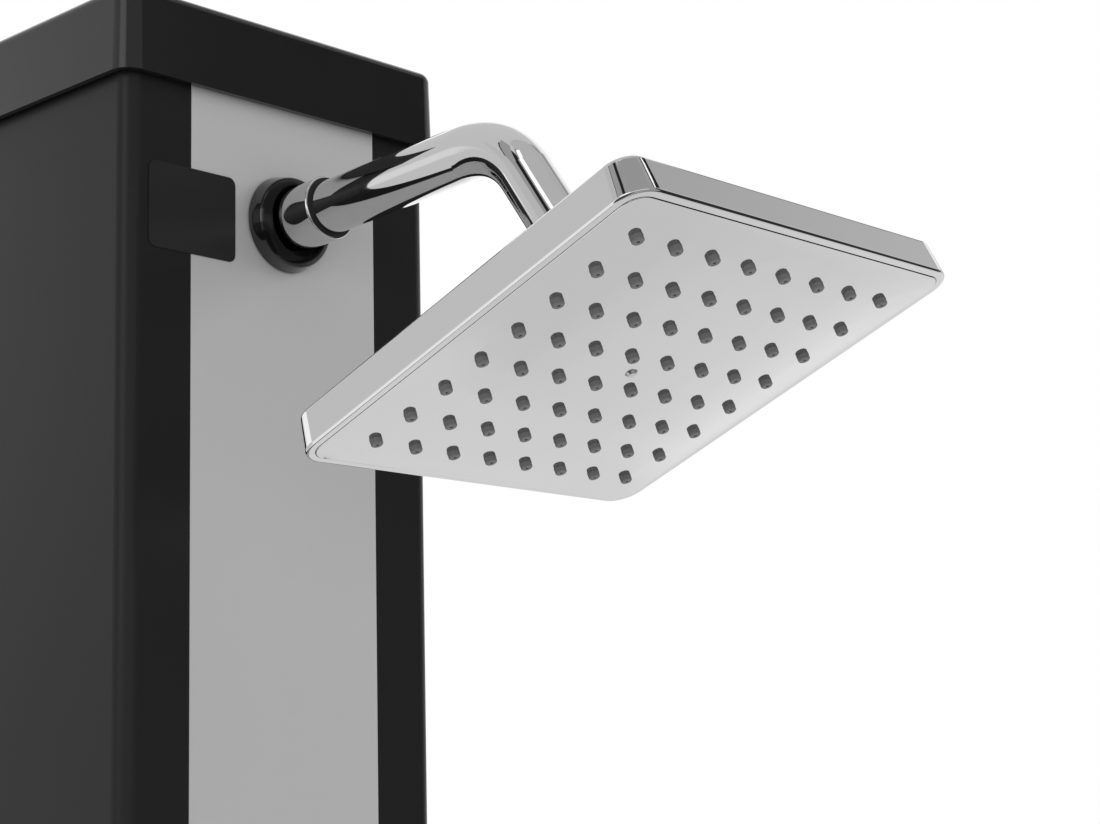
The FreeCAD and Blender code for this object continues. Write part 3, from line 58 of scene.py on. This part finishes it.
# shader maths: a socket that works in Python expressions
class Wire:
    def __init__(self, tree, socket=None):
        self.tree = tree
        self.socket = socket

    def add(self, kind, settings=None, sockets=None, output=0):
        node = self.tree.nodes.new(kind)
        for key, value in (settings or {}).items():
            setattr(node, key, value)
        for key, value in (sockets or {}).items():
            if isinstance(value, Wire):
                self.tree.links.new(value.socket, node.inputs[key])
            else:
                node.inputs[key].default_value = value
        return Wire(self.tree, node.outputs[output]) if node.outputs else None

    def maths(self, operation, first, second):
        return self.add("ShaderNodeMath", {"operation": operation}, {0: first, 1: second})

    def __add__(self, other):
        return self.maths("ADD", self, other)

    __radd__ = __add__

    def __sub__(self, other):
        return self.maths("SUBTRACT", self, other)

    def __rsub__(self, other):
        return self.maths("SUBTRACT", other, self)

    def __mul__(self, other):
        return self.maths("MULTIPLY", self, other)

    __rmul__ = __mul__


neutral = (1.0, 0.99, 0.995)
brassTint = (1.0, 0.79, 0.42)
noiseMiddle = 0.5  # what a noise texture averages


def grey(level, tint=(1.0, 1.0, 1.0)):
    return (level * tint[0], level * tint[1], level * tint[2], 1.0)


def startFinish(name):
    material = bpy.data.materials.new(name)
    material.use_nodes = True
    material.node_tree.nodes.clear()
    start = Wire(material.node_tree)
    return material, start, start.add("ShaderNodeTexCoord", output="Object")


def endFinish(material, start, sockets):
    shader = start.add("ShaderNodeBsdfPrincipled", None, sockets)
    start.add("ShaderNodeOutputMaterial", None, {"Surface": shader})
    return material


def noise(start, coords, scale, detail=3.0, roughness=0.5, stretch=None):
    if stretch:
        coords = start.add("ShaderNodeMapping", None, {"Vector": coords, "Scale": stretch})
    return start.add("ShaderNodeTexNoise", None, {
        "Vector": coords, "Scale": scale, "Detail": detail, "Roughness": roughness})


# from one end to the other between two limits, level beyond them
def slope(start, value, limits, ends=(0.0, 1.0)):
    return start.add("ShaderNodeMapRange", None, {
        "Value": value, "From Min": limits[0], "From Max": limits[1],
        "To Min": ends[0], "To Max": ends[1]})


def shade(start, factor, look):
    tint = look.get("tint", (1.0, 1.0, 1.0))
    low, high = grey(look["dark"], tint), grey(look["light"], tint)
    mixed = {0: factor, 6: low, 7: high}  # the Mix node's factor and its two colours
    return start.add("ShaderNodeMix", {"data_type": "RGBA"}, mixed, output=2)


def gloss(pattern, look):
    return look["rough"] + (pattern - noiseMiddle) * look["roughSpread"]


def bump(start, height, look):
    return start.add("ShaderNodeBump", None, {
        "Height": height, "Strength": look["bump"], "Distance": look["depth"]})


# powder coat and moulded blacks: fine pebble, faint clouding
def blackFinish(name, look):
    material, start, coords = startFinish(name)
    pebble = noise(start, coords, look["pebbleScale"], detail=4.0, roughness=0.6)
    cloud = noise(start, coords, look["cloudScale"], roughness=0.55)
    return endFinish(material, start, {
        "Base Color": shade(start, cloud, look), "Roughness": gloss(cloud, look),
        "Normal": bump(start, pebble, look), "Specular IOR Level": look["shine"]})


blackLooks = {
    "columnCoat": {
        "dark": 0.0088, "light": 0.0108, "rough": 0.3, "roughSpread": 0.12, "shine": 0.215,
        "pebbleScale": 1500.0, "cloudScale": 9.0, "bump": 0.25, "depth": 0.0002},
    "capMoulding": {
        "dark": 0.0095, "light": 0.0115, "rough": 0.14, "roughSpread": 0.06, "shine": 0.45,
        "pebbleScale": 2200.0, "cloudScale": 14.0, "bump": 0.18, "depth": 0.00015},
    "baseCoat": {
        "dark": 0.011, "light": 0.015, "rough": 0.46, "roughSpread": 0.14, "shine": 0.35,
        "pebbleScale": 1300.0, "cloudScale": 12.0, "bump": 0.3, "depth": 0.00025},
    "labelFilm": {
        "dark": 0.0145, "light": 0.0165, "rough": 0.24, "roughSpread": 0.08, "shine": 0.25,
        "pebbleScale": 700.0, "cloudScale": 40.0, "bump": 0.06, "depth": 0.0001},
    "sealRubber": {
        "dark": 0.012, "light": 0.018, "rough": 0.62, "roughSpread": 0.12, "shine": 0.3,
        "pebbleScale": 2600.0, "cloudScale": 60.0, "bump": 0.25, "depth": 0.0001},
}


# flange: plain black front, lacquer on the turned side; axisShift brings its axis to the origin
flangeLook = {
    "dark": 0.0035, "light": 0.0045, "rough": 0.14, "roughSpread": 0.06, "shine": 0.18,
    "axisShift": (0.0, 0.0, -2.0733), "across": (1.0, 0.0, 1.0), "lacquerFrom": (0.0215, 0.0225),
    "cloudScale": 30.0, "lineScale": 1800.0, "lineStretch": (0.05, 1.0, 0.05),
    "lacquerRough": 0.08, "lacquerIor": 1.75, "bump": 0.05, "depth": 0.0001}


def flangeFinish(look):
    material, start, coords = startFinish("flangeGloss")
    cloud = noise(start, coords, look["cloudScale"], roughness=0.55)
    lines = noise(start, coords, look["lineScale"], detail=2.0, stretch=look["lineStretch"])
    flat = start.add("ShaderNodeMapping", None, {
        "Vector": coords, "Location": look["axisShift"], "Scale": look["across"]})
    radius = start.add("ShaderNodeVectorMath", {"operation": "LENGTH"}, {0: flat}, output="Value")
    return endFinish(material, start, {
        "Base Color": shade(start, cloud, look), "Roughness": gloss(cloud, look),
        "Normal": bump(start, lines, look), "Specular IOR Level": look["shine"],
        "Coat Weight": slope(start, radius, look["lacquerFrom"]),
        "Coat Roughness": look["lacquerRough"], "Coat IOR": look["lacquerIor"]})


# satin anodised sheet with fine upright drawing lines
panelLook = {
    "dark": 0.385, "light": 0.415, "rough": 0.44, "roughSpread": 0.1, "shine": 0.35,
    "lineScale": 900.0, "lineStretch": (1.0, 1.0, 0.004), "cloudScale": 3.0, "grainScale": 2400.0,
    "cloudShade": 0.5, "lineShade": 0.3, "grainShade": 0.2, "lineHeight": 0.6, "grainHeight": 0.4,
    "bump": 0.06, "depth": 0.0001}


def panelFinish(look):
    material, start, coords = startFinish("panelAnodised")
    lines = noise(start, coords, look["lineScale"], detail=2.0, stretch=look["lineStretch"])
    cloud = noise(start, coords, look["cloudScale"], detail=2.0)
    grain = noise(start, coords, look["grainScale"], detail=2.0)
    mottle = cloud * look["cloudShade"] + lines * look["lineShade"] + grain * look["grainShade"]
    height = lines * look["lineHeight"] + grain * look["grainHeight"]
    return endFinish(material, start, {
        "Base Color": shade(start, mottle, look), "Roughness": gloss(lines, look),
        "Normal": bump(start, height, look), "Specular IOR Level": look["shine"]})


# plated and bare metals: faint waviness and handling smears in the gloss
def metalFinish(name, look):
    material, start, coords = startFinish(name)
    smear = noise(start, coords, look["smearScale"], detail=4.0, roughness=0.6)
    wave = noise(start, coords, look["waveScale"], detail=1.0, roughness=0.4)
    fine = noise(start, coords, look["fineScale"], detail=2.0)
    height = wave * look["waveShare"] + fine * (1.0 - look["waveShare"])
    return endFinish(material, start, {
        "Base Color": shade(start, smear, look), "Metallic": 1.0,
        "Roughness": look["rough"] + smear * smear * look["roughSpread"],
        "Normal": bump(start, height, look)})


chrome = {
    "tint": neutral, "dark": 0.625, "light": 0.65, "rough": 0.03, "roughSpread": 0.04,
    "waveShare": 0.995, "fineScale": 900.0, "bump": 0.03, "depth": 0.0004}
metalLooks = {
    "armChrome": {
        **chrome, "light": 0.657, "rough": 0.025, "roughSpread": 0.03,
        "smearScale": 45.0, "waveScale": 20.0},
    "headChrome": {**chrome, "smearScale": 30.0, "waveScale": 16.0},
    "faceChrome": {
        **chrome, "rough": 0.05, "roughSpread": 0.05, "bump": 0.02,
        "smearScale": 18.0, "waveScale": 12.0},
    "leverChrome": {
        **chrome, "light": 0.657, "roughSpread": 0.05, "smearScale": 50.0, "waveScale": 25.0},
    "screwSteel": {
        "tint": neutral, "dark": 0.5, "light": 0.6, "rough": 0.26, "roughSpread": 0.16,
        "smearScale": 300.0, "waveScale": 60.0, "waveShare": 0.3, "fineScale": 2500.0,
        "bump": 0.12, "depth": 0.0001},
    "fittingBrass": {
        "tint": brassTint, "dark": 0.62, "light": 0.74, "rough": 0.24, "roughSpread": 0.2,
        "smearScale": 120.0, "waveScale": 60.0, "waveShare": 0.3, "fineScale": 1800.0,
        "bump": 0.15, "depth": 0.0001},
}


# plain moulded plastics, hose rubber, silicone and ceramic
def mouldedFinish(name, look):
    material, start, coords = startFinish(name)
    cloud = noise(start, coords, look["cloudScale"])
    pebble = noise(start, coords, look["pebbleScale"], roughness=0.6)
    return endFinish(material, start, {
        "Base Color": shade(start, cloud, look), "Roughness": gloss(pebble, look),
        "Normal": bump(start, pebble, look)})


mouldedLooks = {
    "nozzleSilicone": {
        "tint": neutral, "dark": 0.135, "light": 0.16, "rough": 0.5, "roughSpread": 0.15,
        "cloudScale": 120.0, "pebbleScale": 3000.0, "bump": 0.1, "depth": 0.0001},
    "seatAcetal": {
        "tint": (1.0, 1.0, 0.96), "dark": 0.62, "light": 0.7, "rough": 0.42, "roughSpread": 0.15,
        "cloudScale": 60.0, "pebbleScale": 1800.0, "bump": 0.15, "depth": 0.0001},
    "pipePlastic": {
        "tint": (1.0, 1.0, 0.97), "dark": 0.74, "light": 0.82, "rough": 0.36, "roughSpread": 0.12,
        "cloudScale": 25.0, "pebbleScale": 1200.0, "bump": 0.12, "depth": 0.0001},
    "hoseRubber": {
        "tint": neutral, "dark": 0.02, "light": 0.03, "rough": 0.55, "roughSpread": 0.15,
        "cloudScale": 40.0, "pebbleScale": 1500.0, "bump": 0.3, "depth": 0.0002},
    "discCeramic": {
        "tint": (1.0, 1.0, 0.98), "dark": 0.84, "light": 0.9, "rough": 0.16, "roughSpread": 0.08,
        "cloudScale": 80.0, "pebbleScale": 2500.0, "bump": 0.05, "depth": 0.0001},
    "indexPlug": {
        "tint": neutral, "dark": 0.012, "light": 0.016, "rough": 0.24, "roughSpread": 0.1,
        "cloudScale": 150.0, "pebbleScale": 2500.0, "bump": 0.08, "depth": 0.0001},
}

finishes = {name: blackFinish(name, look) for name, look in blackLooks.items()}
finishes.update({name: metalFinish(name, look) for name, look in metalLooks.items()})
finishes.update({name: mouldedFinish(name, look) for name, look in mouldedLooks.items()})
finishes["panelAnodised"] = panelFinish(panelLook)
finishes["flangeGloss"] = flangeFinish(flangeLook)

# the record's material slots and the finish of each
slotFinishes = {
    "black_profile": "columnCoat", "grey_panel": "panelAnodised", "black_cap": "capMoulding",
    "black_base": "baseCoat", "screw_steel": "screwSteel", "label_film": "labelFilm",
    "arm_chrome": "armChrome", "black_rubber": "sealRubber", "black_gloss": "flangeGloss",
    "nut_brass": "fittingBrass", "seat_plastic": "seatAcetal", "head_chrome": "headChrome",
    "face_satin": "faceChrome", "grey_silicone": "nozzleSilicone", "pipe_plastic": "pipePlastic",
    "hose_rubber": "hoseRubber", "lever_chrome": "leverChrome", "disc_ceramic": "discCeramic",
    "index_plastic": "indexPlug"}
for row in frame["record"]["subparts"]:
    mesh = nodes[row["node"]].data
    mesh.materials.clear()
    mesh.materials.append(finishes[slotFinishes[row["material_slot"]]])
print("finishes set:", len(finishes))


# wind the new outline round Z into a coil with closed ends
def windCoil(pitch, turns, steps):
    coil = bpy.context.object
    bpy.ops.object.transform_apply(location=True, rotation=True, scale=True)
    bpy.ops.object.modifier_add(type="SCREW")
    wind = coil.modifiers[-1]
    wind.axis = "Z"
    wind.angle = 2.0 * math.pi
    wind.screw_offset = pitch
    wind.iterations = turns
    wind.steps = wind.render_steps = steps
    bpy.ops.object.modifier_apply(modifier=wind.name)
    bpy.ops.object.mode_set(mode="EDIT")
    bpy.ops.mesh.select_all(action="SELECT")
    bpy.ops.mesh.fill_holes(sides=0)
    bpy.ops.mesh.normals_make_consistent(inside=False)
    bpy.ops.object.mode_set(mode="OBJECT")
    return coil


# lay a piece made along Z down along X, from its left end
def layAlongX(piece, leftEnd, smoothAngle):
    piece.rotation_euler = (0.0, math.pi / 2.0, 0.0)
    piece.location = leftEnd
    bpy.ops.object.transform_apply(location=True, rotation=True, scale=True)
    bpy.ops.object.shade_smooth_by_angle(angle=math.radians(smoothAngle))


# return spring of the inlet valve: a coil of one fixed length (the spring itself shortens as the
# valve opens)
springLook = {
    "wire": 0.0005, "turns": 4, "steps": 24, "sides": 8, "smoothAngle": 50.0,
    "travel": 0.003, "fixedEnd": -0.0763}


def makeValveSpring(look):
    low, high = (Vector(corner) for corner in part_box("check_valve_spring"))
    middle = (low + high) / 2.0
    wire = look["wire"]
    coilRadius = (high.y - low.y) / 2.0 - wire
    coilLength = high.x - low.x - 2.0 * wire
    bpy.ops.object.select_all(action="DESELECT")
    bpy.ops.mesh.primitive_circle_add(
        vertices=look["sides"], radius=wire, location=(coilRadius, 0.0, 0.0),
        rotation=(math.pi / 2.0, 0.0, 0.0))
    spring = windCoil(coilLength / look["turns"], look["turns"], look["steps"])
    spring.name = "valveSpring"
    layAlongX(spring, (low.x + wire, middle.y, middle.z), look["smoothAngle"])
    spring.data.materials.append(finishes["screwSteel"])
    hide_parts("check_valve_spring")
    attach(spring, "column")
    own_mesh(spring)
    print("spring made:", len(spring.data.polygons), "faces")


makeValveSpring(springLook)


# hose nipple with its 3/4 inch thread, turned from the open end to the chamber end
nippleLook = {
    "bore": 0.007, "core": 0.0121, "crest": 0.0132, "mouthChamfer": 0.001, "threadLength": 0.02,
    "flange": 0.017, "flangeWall": 0.005, "flangeEdge": 0.0006, "tail": 0.011,
    "chamber": 0.0085, "chamberDepth": 0.016, "sides": 72, "smoothAngle": 30.0,
    "pitch": 0.001814, "turns": 9, "toothHalf": 0.00084, "runOut": 0.0019}
mergeDistance = 0.00001


# turn a closed outline of (radius, place) points round Z
def turnOutline(outline, sides):
    radius, place = outline[0]
    bpy.ops.object.select_all(action="DESELECT")
    bpy.ops.mesh.primitive_circle_add(vertices=sides, radius=radius, location=(0.0, 0.0, place))
    bpy.ops.object.transform_apply(location=True, rotation=True, scale=True)
    bpy.ops.object.mode_set(mode="EDIT")
    bpy.ops.mesh.select_all(action="SELECT")
    for nextRadius, nextPlace in outline[1:] + outline[:1]:
        step = (0.0, 0.0, nextPlace - place)
        bpy.ops.mesh.extrude_edges_move(TRANSFORM_OT_translate={"value": step})
        grow = nextRadius / radius
        bpy.ops.transform.resize(value=(grow, grow, 1.0), center_override=(0.0, 0.0, nextPlace))
        radius, place = nextRadius, nextPlace
    bpy.ops.mesh.select_all(action="SELECT")
    bpy.ops.mesh.remove_doubles(threshold=mergeDistance)
    bpy.ops.mesh.normals_make_consistent(inside=False)
    bpy.ops.object.mode_set(mode="OBJECT")
    return bpy.context.object


def makeThread(look):
    toothDepth = look["crest"] - look["core"]
    bpy.ops.object.select_all(action="DESELECT")
    bpy.ops.mesh.primitive_circle_add(
        vertices=4, radius=toothDepth, rotation=(math.pi / 2.0, 0.0, 0.0),
        location=(look["core"], 0.0, look["runOut"]))
    bpy.context.object.scale = (1.0, look["toothHalf"] / toothDepth, 1.0)
    return windCoil(look["pitch"], look["turns"], look["sides"])


def makeHoseNipple(look):
    low, high = (Vector(corner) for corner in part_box("hose_inlet_nipple"))
    middle = (low + high) / 2.0
    whole = high.x - low.x
    bore, core, chamfer = look["bore"], look["core"], look["mouthChamfer"]
    flange, edge, tail = look["flange"], look["flangeEdge"], look["tail"]
    face = look["threadLength"]
    back = face + look["flangeWall"]
    seat = whole - look["chamberDepth"]
    nipple = turnOutline([
        (bore, 0.0), (core - chamfer, 0.0), (core, chamfer), (core, face),
        (flange - edge, face), (flange, face + edge), (flange, back - edge), (flange - edge, back),
        (tail, back), (tail, whole), (look["chamber"], whole), (look["chamber"], seat),
        (bore, seat)], look["sides"])
    nipple.name = "hoseNipple"
    thread = makeThread(look)
    bpy.ops.object.select_all(action="DESELECT")
    thread.select_set(True)
    nipple.select_set(True)
    bpy.context.view_layer.objects.active = nipple
    bpy.ops.object.join()
    layAlongX(nipple, (low.x, middle.y, middle.z), look["smoothAngle"])
    nipple.data.materials.append(finishes["fittingBrass"])
    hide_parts("hose_inlet_nipple")
    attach(nipple, "column")
    print("nipple made:", len(nipple.data.polygons), "faces")


makeHoseNipple(nippleLook)


# camera at the photographed angle
cameraLook = {
    "place": (-0.6916, -0.8992, 1.7798), "yaw": 45.243, "pitch": 8.941, "roll": -0.969,
    "lens": 73.83, "shiftX": 0.06, "shiftY": 0.0585}


def makeCamera(look):
    yaw, pitch, roll = (math.radians(look[key]) for key in ("yaw", "pitch", "roll"))
    level = math.cos(pitch)
    ahead = Vector((math.sin(yaw) * level, math.cos(yaw) * level, math.sin(pitch)))
    right = Vector((math.cos(yaw), -math.sin(yaw), 0.0))
    up = right.cross(ahead)
    leanRight = math.cos(roll) * right + math.sin(roll) * up
    leanUp = math.cos(roll) * up - math.sin(roll) * right
    bpy.ops.object.select_all(action="DESELECT")
    bpy.ops.object.camera_add()
    camera = bpy.context.object
    turn = Matrix((leanRight, leanUp, -ahead)).transposed().to_4x4()
    camera.matrix_world = Matrix.Translation(look["place"]) @ turn
    camera.data.lens = look["lens"]
    camera.data.shift_x = look["shiftX"]
    camera.data.shift_y = look["shiftY"]
    bpy.context.scene.camera = camera


makeCamera(cameraLook)
print("camera set")


# pale floor
floorLook = {"size": 14.0, "dark": 0.784, "light": 0.8, "cloudScale": 1.5, "rough": 0.7}


def makeFloor(look):
    bpy.ops.mesh.primitive_plane_add(size=look["size"], location=(0.0, 0.0, 0.0))
    floor = bpy.context.object
    floor.name = "paleFloor"
    material, start, coords = startFinish("floorPaint")
    cloud = noise(start, coords, look["cloudScale"])
    floor.data.materials.append(endFinish(material, start, {
        "Base Color": shade(start, cloud, look), "Roughness": look["rough"]}))
    floor.visible_glossy = False  # metal shows the studio below the horizon too


makeFloor(floorLook)


# soft studio lamps
lampLooks = [
    {"name": "keyLamp", "place": (3.0, -1.9, 3.4), "aim": (0.0, -0.1, 1.7),
     "size": 2.2, "power": 68.0},
    {"name": "fillLamp", "place": (-3.6, -3.1, 1.9), "aim": (0.0, -0.1, 1.7),
     "size": 2.4, "power": 56.0},
]


def makeLamp(look):
    bpy.ops.object.light_add(type="AREA", location=look["place"])
    lamp = bpy.context.object
    lamp.name = look["name"]
    aim = Vector(look["aim"]) - Vector(look["place"])
    lamp.rotation_euler = aim.to_track_quat("-Z", "Y").to_euler()
    lamp.data.size = look["size"]
    lamp.data.energy = look["power"]
    lamp.visible_glossy = False  # the mirrored studio has its own panels


for lampLook in lampLooks:
    makeLamp(lampLook)


# white background, even light, and the studio that gloss mirrors
# turn runs in degrees from behind the column over its left side and front to its right
# a later panel covers an earlier one; gain is for chrome that returns two thirds of the light
worldLook = {"light": 0.66, "mirrored": 0.64, "gain": 1.217, "back": 60.0, "panels": [
    {"turn": (-5.0, 31.0), "lift": (-90.0, 38.0), "level": 1.0, "soft": 3.0},
    {"turn": (328.0, 365.0), "lift": (-20.0, 45.0), "level": 1.0, "soft": 6.0},
    {"turn": (36.0, 60.0), "lift": (8.0, 20.0), "level": 1.1, "soft": 1.0},
    {"turn": (31.0, 110.0), "lift": (-90.0, -58.0), "level": 1.0, "soft": 3.0},
    {"turn": (82.0, 110.0), "lift": (-90.0, -9.0), "level": 1.0, "soft": 2.0},
    {"turn": (75.5, 80.0), "lift": (-6.0, 9.0), "level": 0.82, "soft": 5.0},
    {"turn": (81.0, 108.0), "lift": (18.0, 32.0), "level": 0.58, "soft": 2.0},
    {"turn": (93.0, 109.0), "lift": (33.0, 60.0), "level": 0.38, "soft": 0.5},
    {"turn": (91.2, 92.6), "lift": (32.5, 50.0), "level": 0.05, "soft": 0.4},
    {"turn": (119.0, 262.0), "lift": (-90.0, 64.0), "level": 0.37, "soft": 0.5},
    {"turn": (109.5, 118.5), "lift": (38.0, 53.0), "level": 0.02, "soft": 0.5},
    {"turn": (110.0, 290.0), "lift": (65.0, 100.0), "level": 0.54, "soft": 1.0},
    {"turn": (135.0, 165.0), "lift": (56.0, 75.0), "level": 0.54, "soft": 0.6, "slant": 0.28},
    {"turn": (123.5, 136.0), "lift": (49.2, 62.0), "level": 1.4, "soft": 0.6, "slant": 0.5},
    {"turn": (118.0, 150.0), "lift": (2.0, 26.0), "level": 1.5, "soft": 3.0},
    {"turn": (112.0, 178.0), "lift": (-75.0, -20.0), "level": 0.05, "soft": 4.0},
    {"turn": (150.0, 215.0), "lift": (0.0, 14.0), "level": 0.9, "soft": 3.0},
    {"turn": (250.0, 286.0), "lift": (57.5, 75.0), "level": 0.52, "soft": 1.0},
    {"turn": (283.0, 299.0), "lift": (28.0, 46.0), "level": 0.46, "soft": 1.0,
     "fade": -0.011, "from": 41.0},
    {"turn": (286.0, 295.0), "lift": (48.5, 66.0), "level": 0.33, "soft": 1.0},
    {"turn": (304.0, 328.0), "lift": (28.0, 50.0), "level": 1.0, "soft": 4.0},
    {"turn": (254.0, 277.0), "lift": (-90.0, 8.0), "level": 0.03, "soft": 1.5},
    {"turn": (248.0, 264.0), "lift": (8.0, 32.0), "level": 0.03, "soft": 8.0},
    {"turn": (263.0, 267.5), "lift": (44.0, 56.5), "level": 0.02, "soft": 0.4},
    {"turn": (268.5, 274.0), "lift": (44.0, 56.5), "level": 1.3, "soft": 0.4},
    {"turn": (275.0, 284.0), "lift": (43.0, 56.5), "level": 0.02, "soft": 0.4},
    {"turn": (299.5, 306.0), "lift": (33.0, 42.0), "level": 0.05, "soft": 0.8},
    {"turn": (290.0, 360.0), "lift": (-90.0, -40.0), "level": 0.665, "soft": 1.0},
    {"turn": (290.0, 360.0), "lift": (-40.0, -24.0), "level": 0.678, "soft": 1.0,
     "fade": 0.0152, "from": -40.0},
    {"turn": (290.0, 340.0), "lift": (-24.0, -15.0), "level": 0.885, "soft": 2.0},
    {"turn": (329.0, 345.0), "lift": (-50.0, -29.0), "level": 0.76, "soft": 3.0},
]}


def band(start, value, limits, soft):
    low, high = limits
    rise = slope(start, value, (low - soft, low))
    fall = slope(start, value, (high, high + soft), (1.0, 0.0))
    return rise * fall


def mirroredLevel(start, turn, lift, look):
    level = look["mirrored"]
    for panel in look["panels"]:
        height, wanted = lift, panel["level"]
        if "slant" in panel:
            height = lift - (turn - panel["turn"][0]) * panel["slant"]
        if "fade" in panel:
            wanted = (lift - panel["from"]) * panel["fade"] + panel["level"]
        across = band(start, turn, panel["turn"], panel["soft"])
        cover = across * band(start, height, panel["lift"], panel["soft"])
        level = level + (wanted - level) * cover
    return level * look["gain"]


def makeWorld(look):
    world = bpy.data.worlds.new("studio")
    bpy.context.scene.world = world
    world.use_nodes = True
    world.node_tree.nodes.clear()
    start = Wire(world.node_tree)
    way = {"Vector": start.add("ShaderNodeTexCoord", output="Generated")}  # a world's direction
    x, y, z = (start.add("ShaderNodeSeparateXYZ", None, way, output=axis) for axis in "XYZ")
    back, perRadian, halfTurn = math.radians(look["back"]), math.degrees(1.0), 180.0
    ahead = x * math.cos(back) + y * math.sin(back)
    aside = y * math.cos(back) - x * math.sin(back)
    turn = start.maths("ARCTAN2", aside * -1.0, ahead * -1.0) * perRadian + halfTurn
    lift = start.add("ShaderNodeMath", {"operation": "ARCSINE"}, {0: z}) * perRadian
    level = mirroredLevel(start, turn, lift, look)
    seen, through, mirrored = (start.add("ShaderNodeLightPath", output=ray) for ray in (
        "Is Camera Ray", "Is Transmission Ray", "Is Glossy Ray"))
    white = start.maths("MAXIMUM", seen, through)
    even = look["light"]
    light = white * (1.0 - even) + mirrored * (level - even) + even
    sky = start.add("ShaderNodeBackground", None, {"Color": grey(1.0), "Strength": light})
    start.add("ShaderNodeOutputWorld", None, {"Surface": sky})


makeWorld(worldLook)
bpy.context.scene.view_settings.view_transform = "Standard"
print("light set")
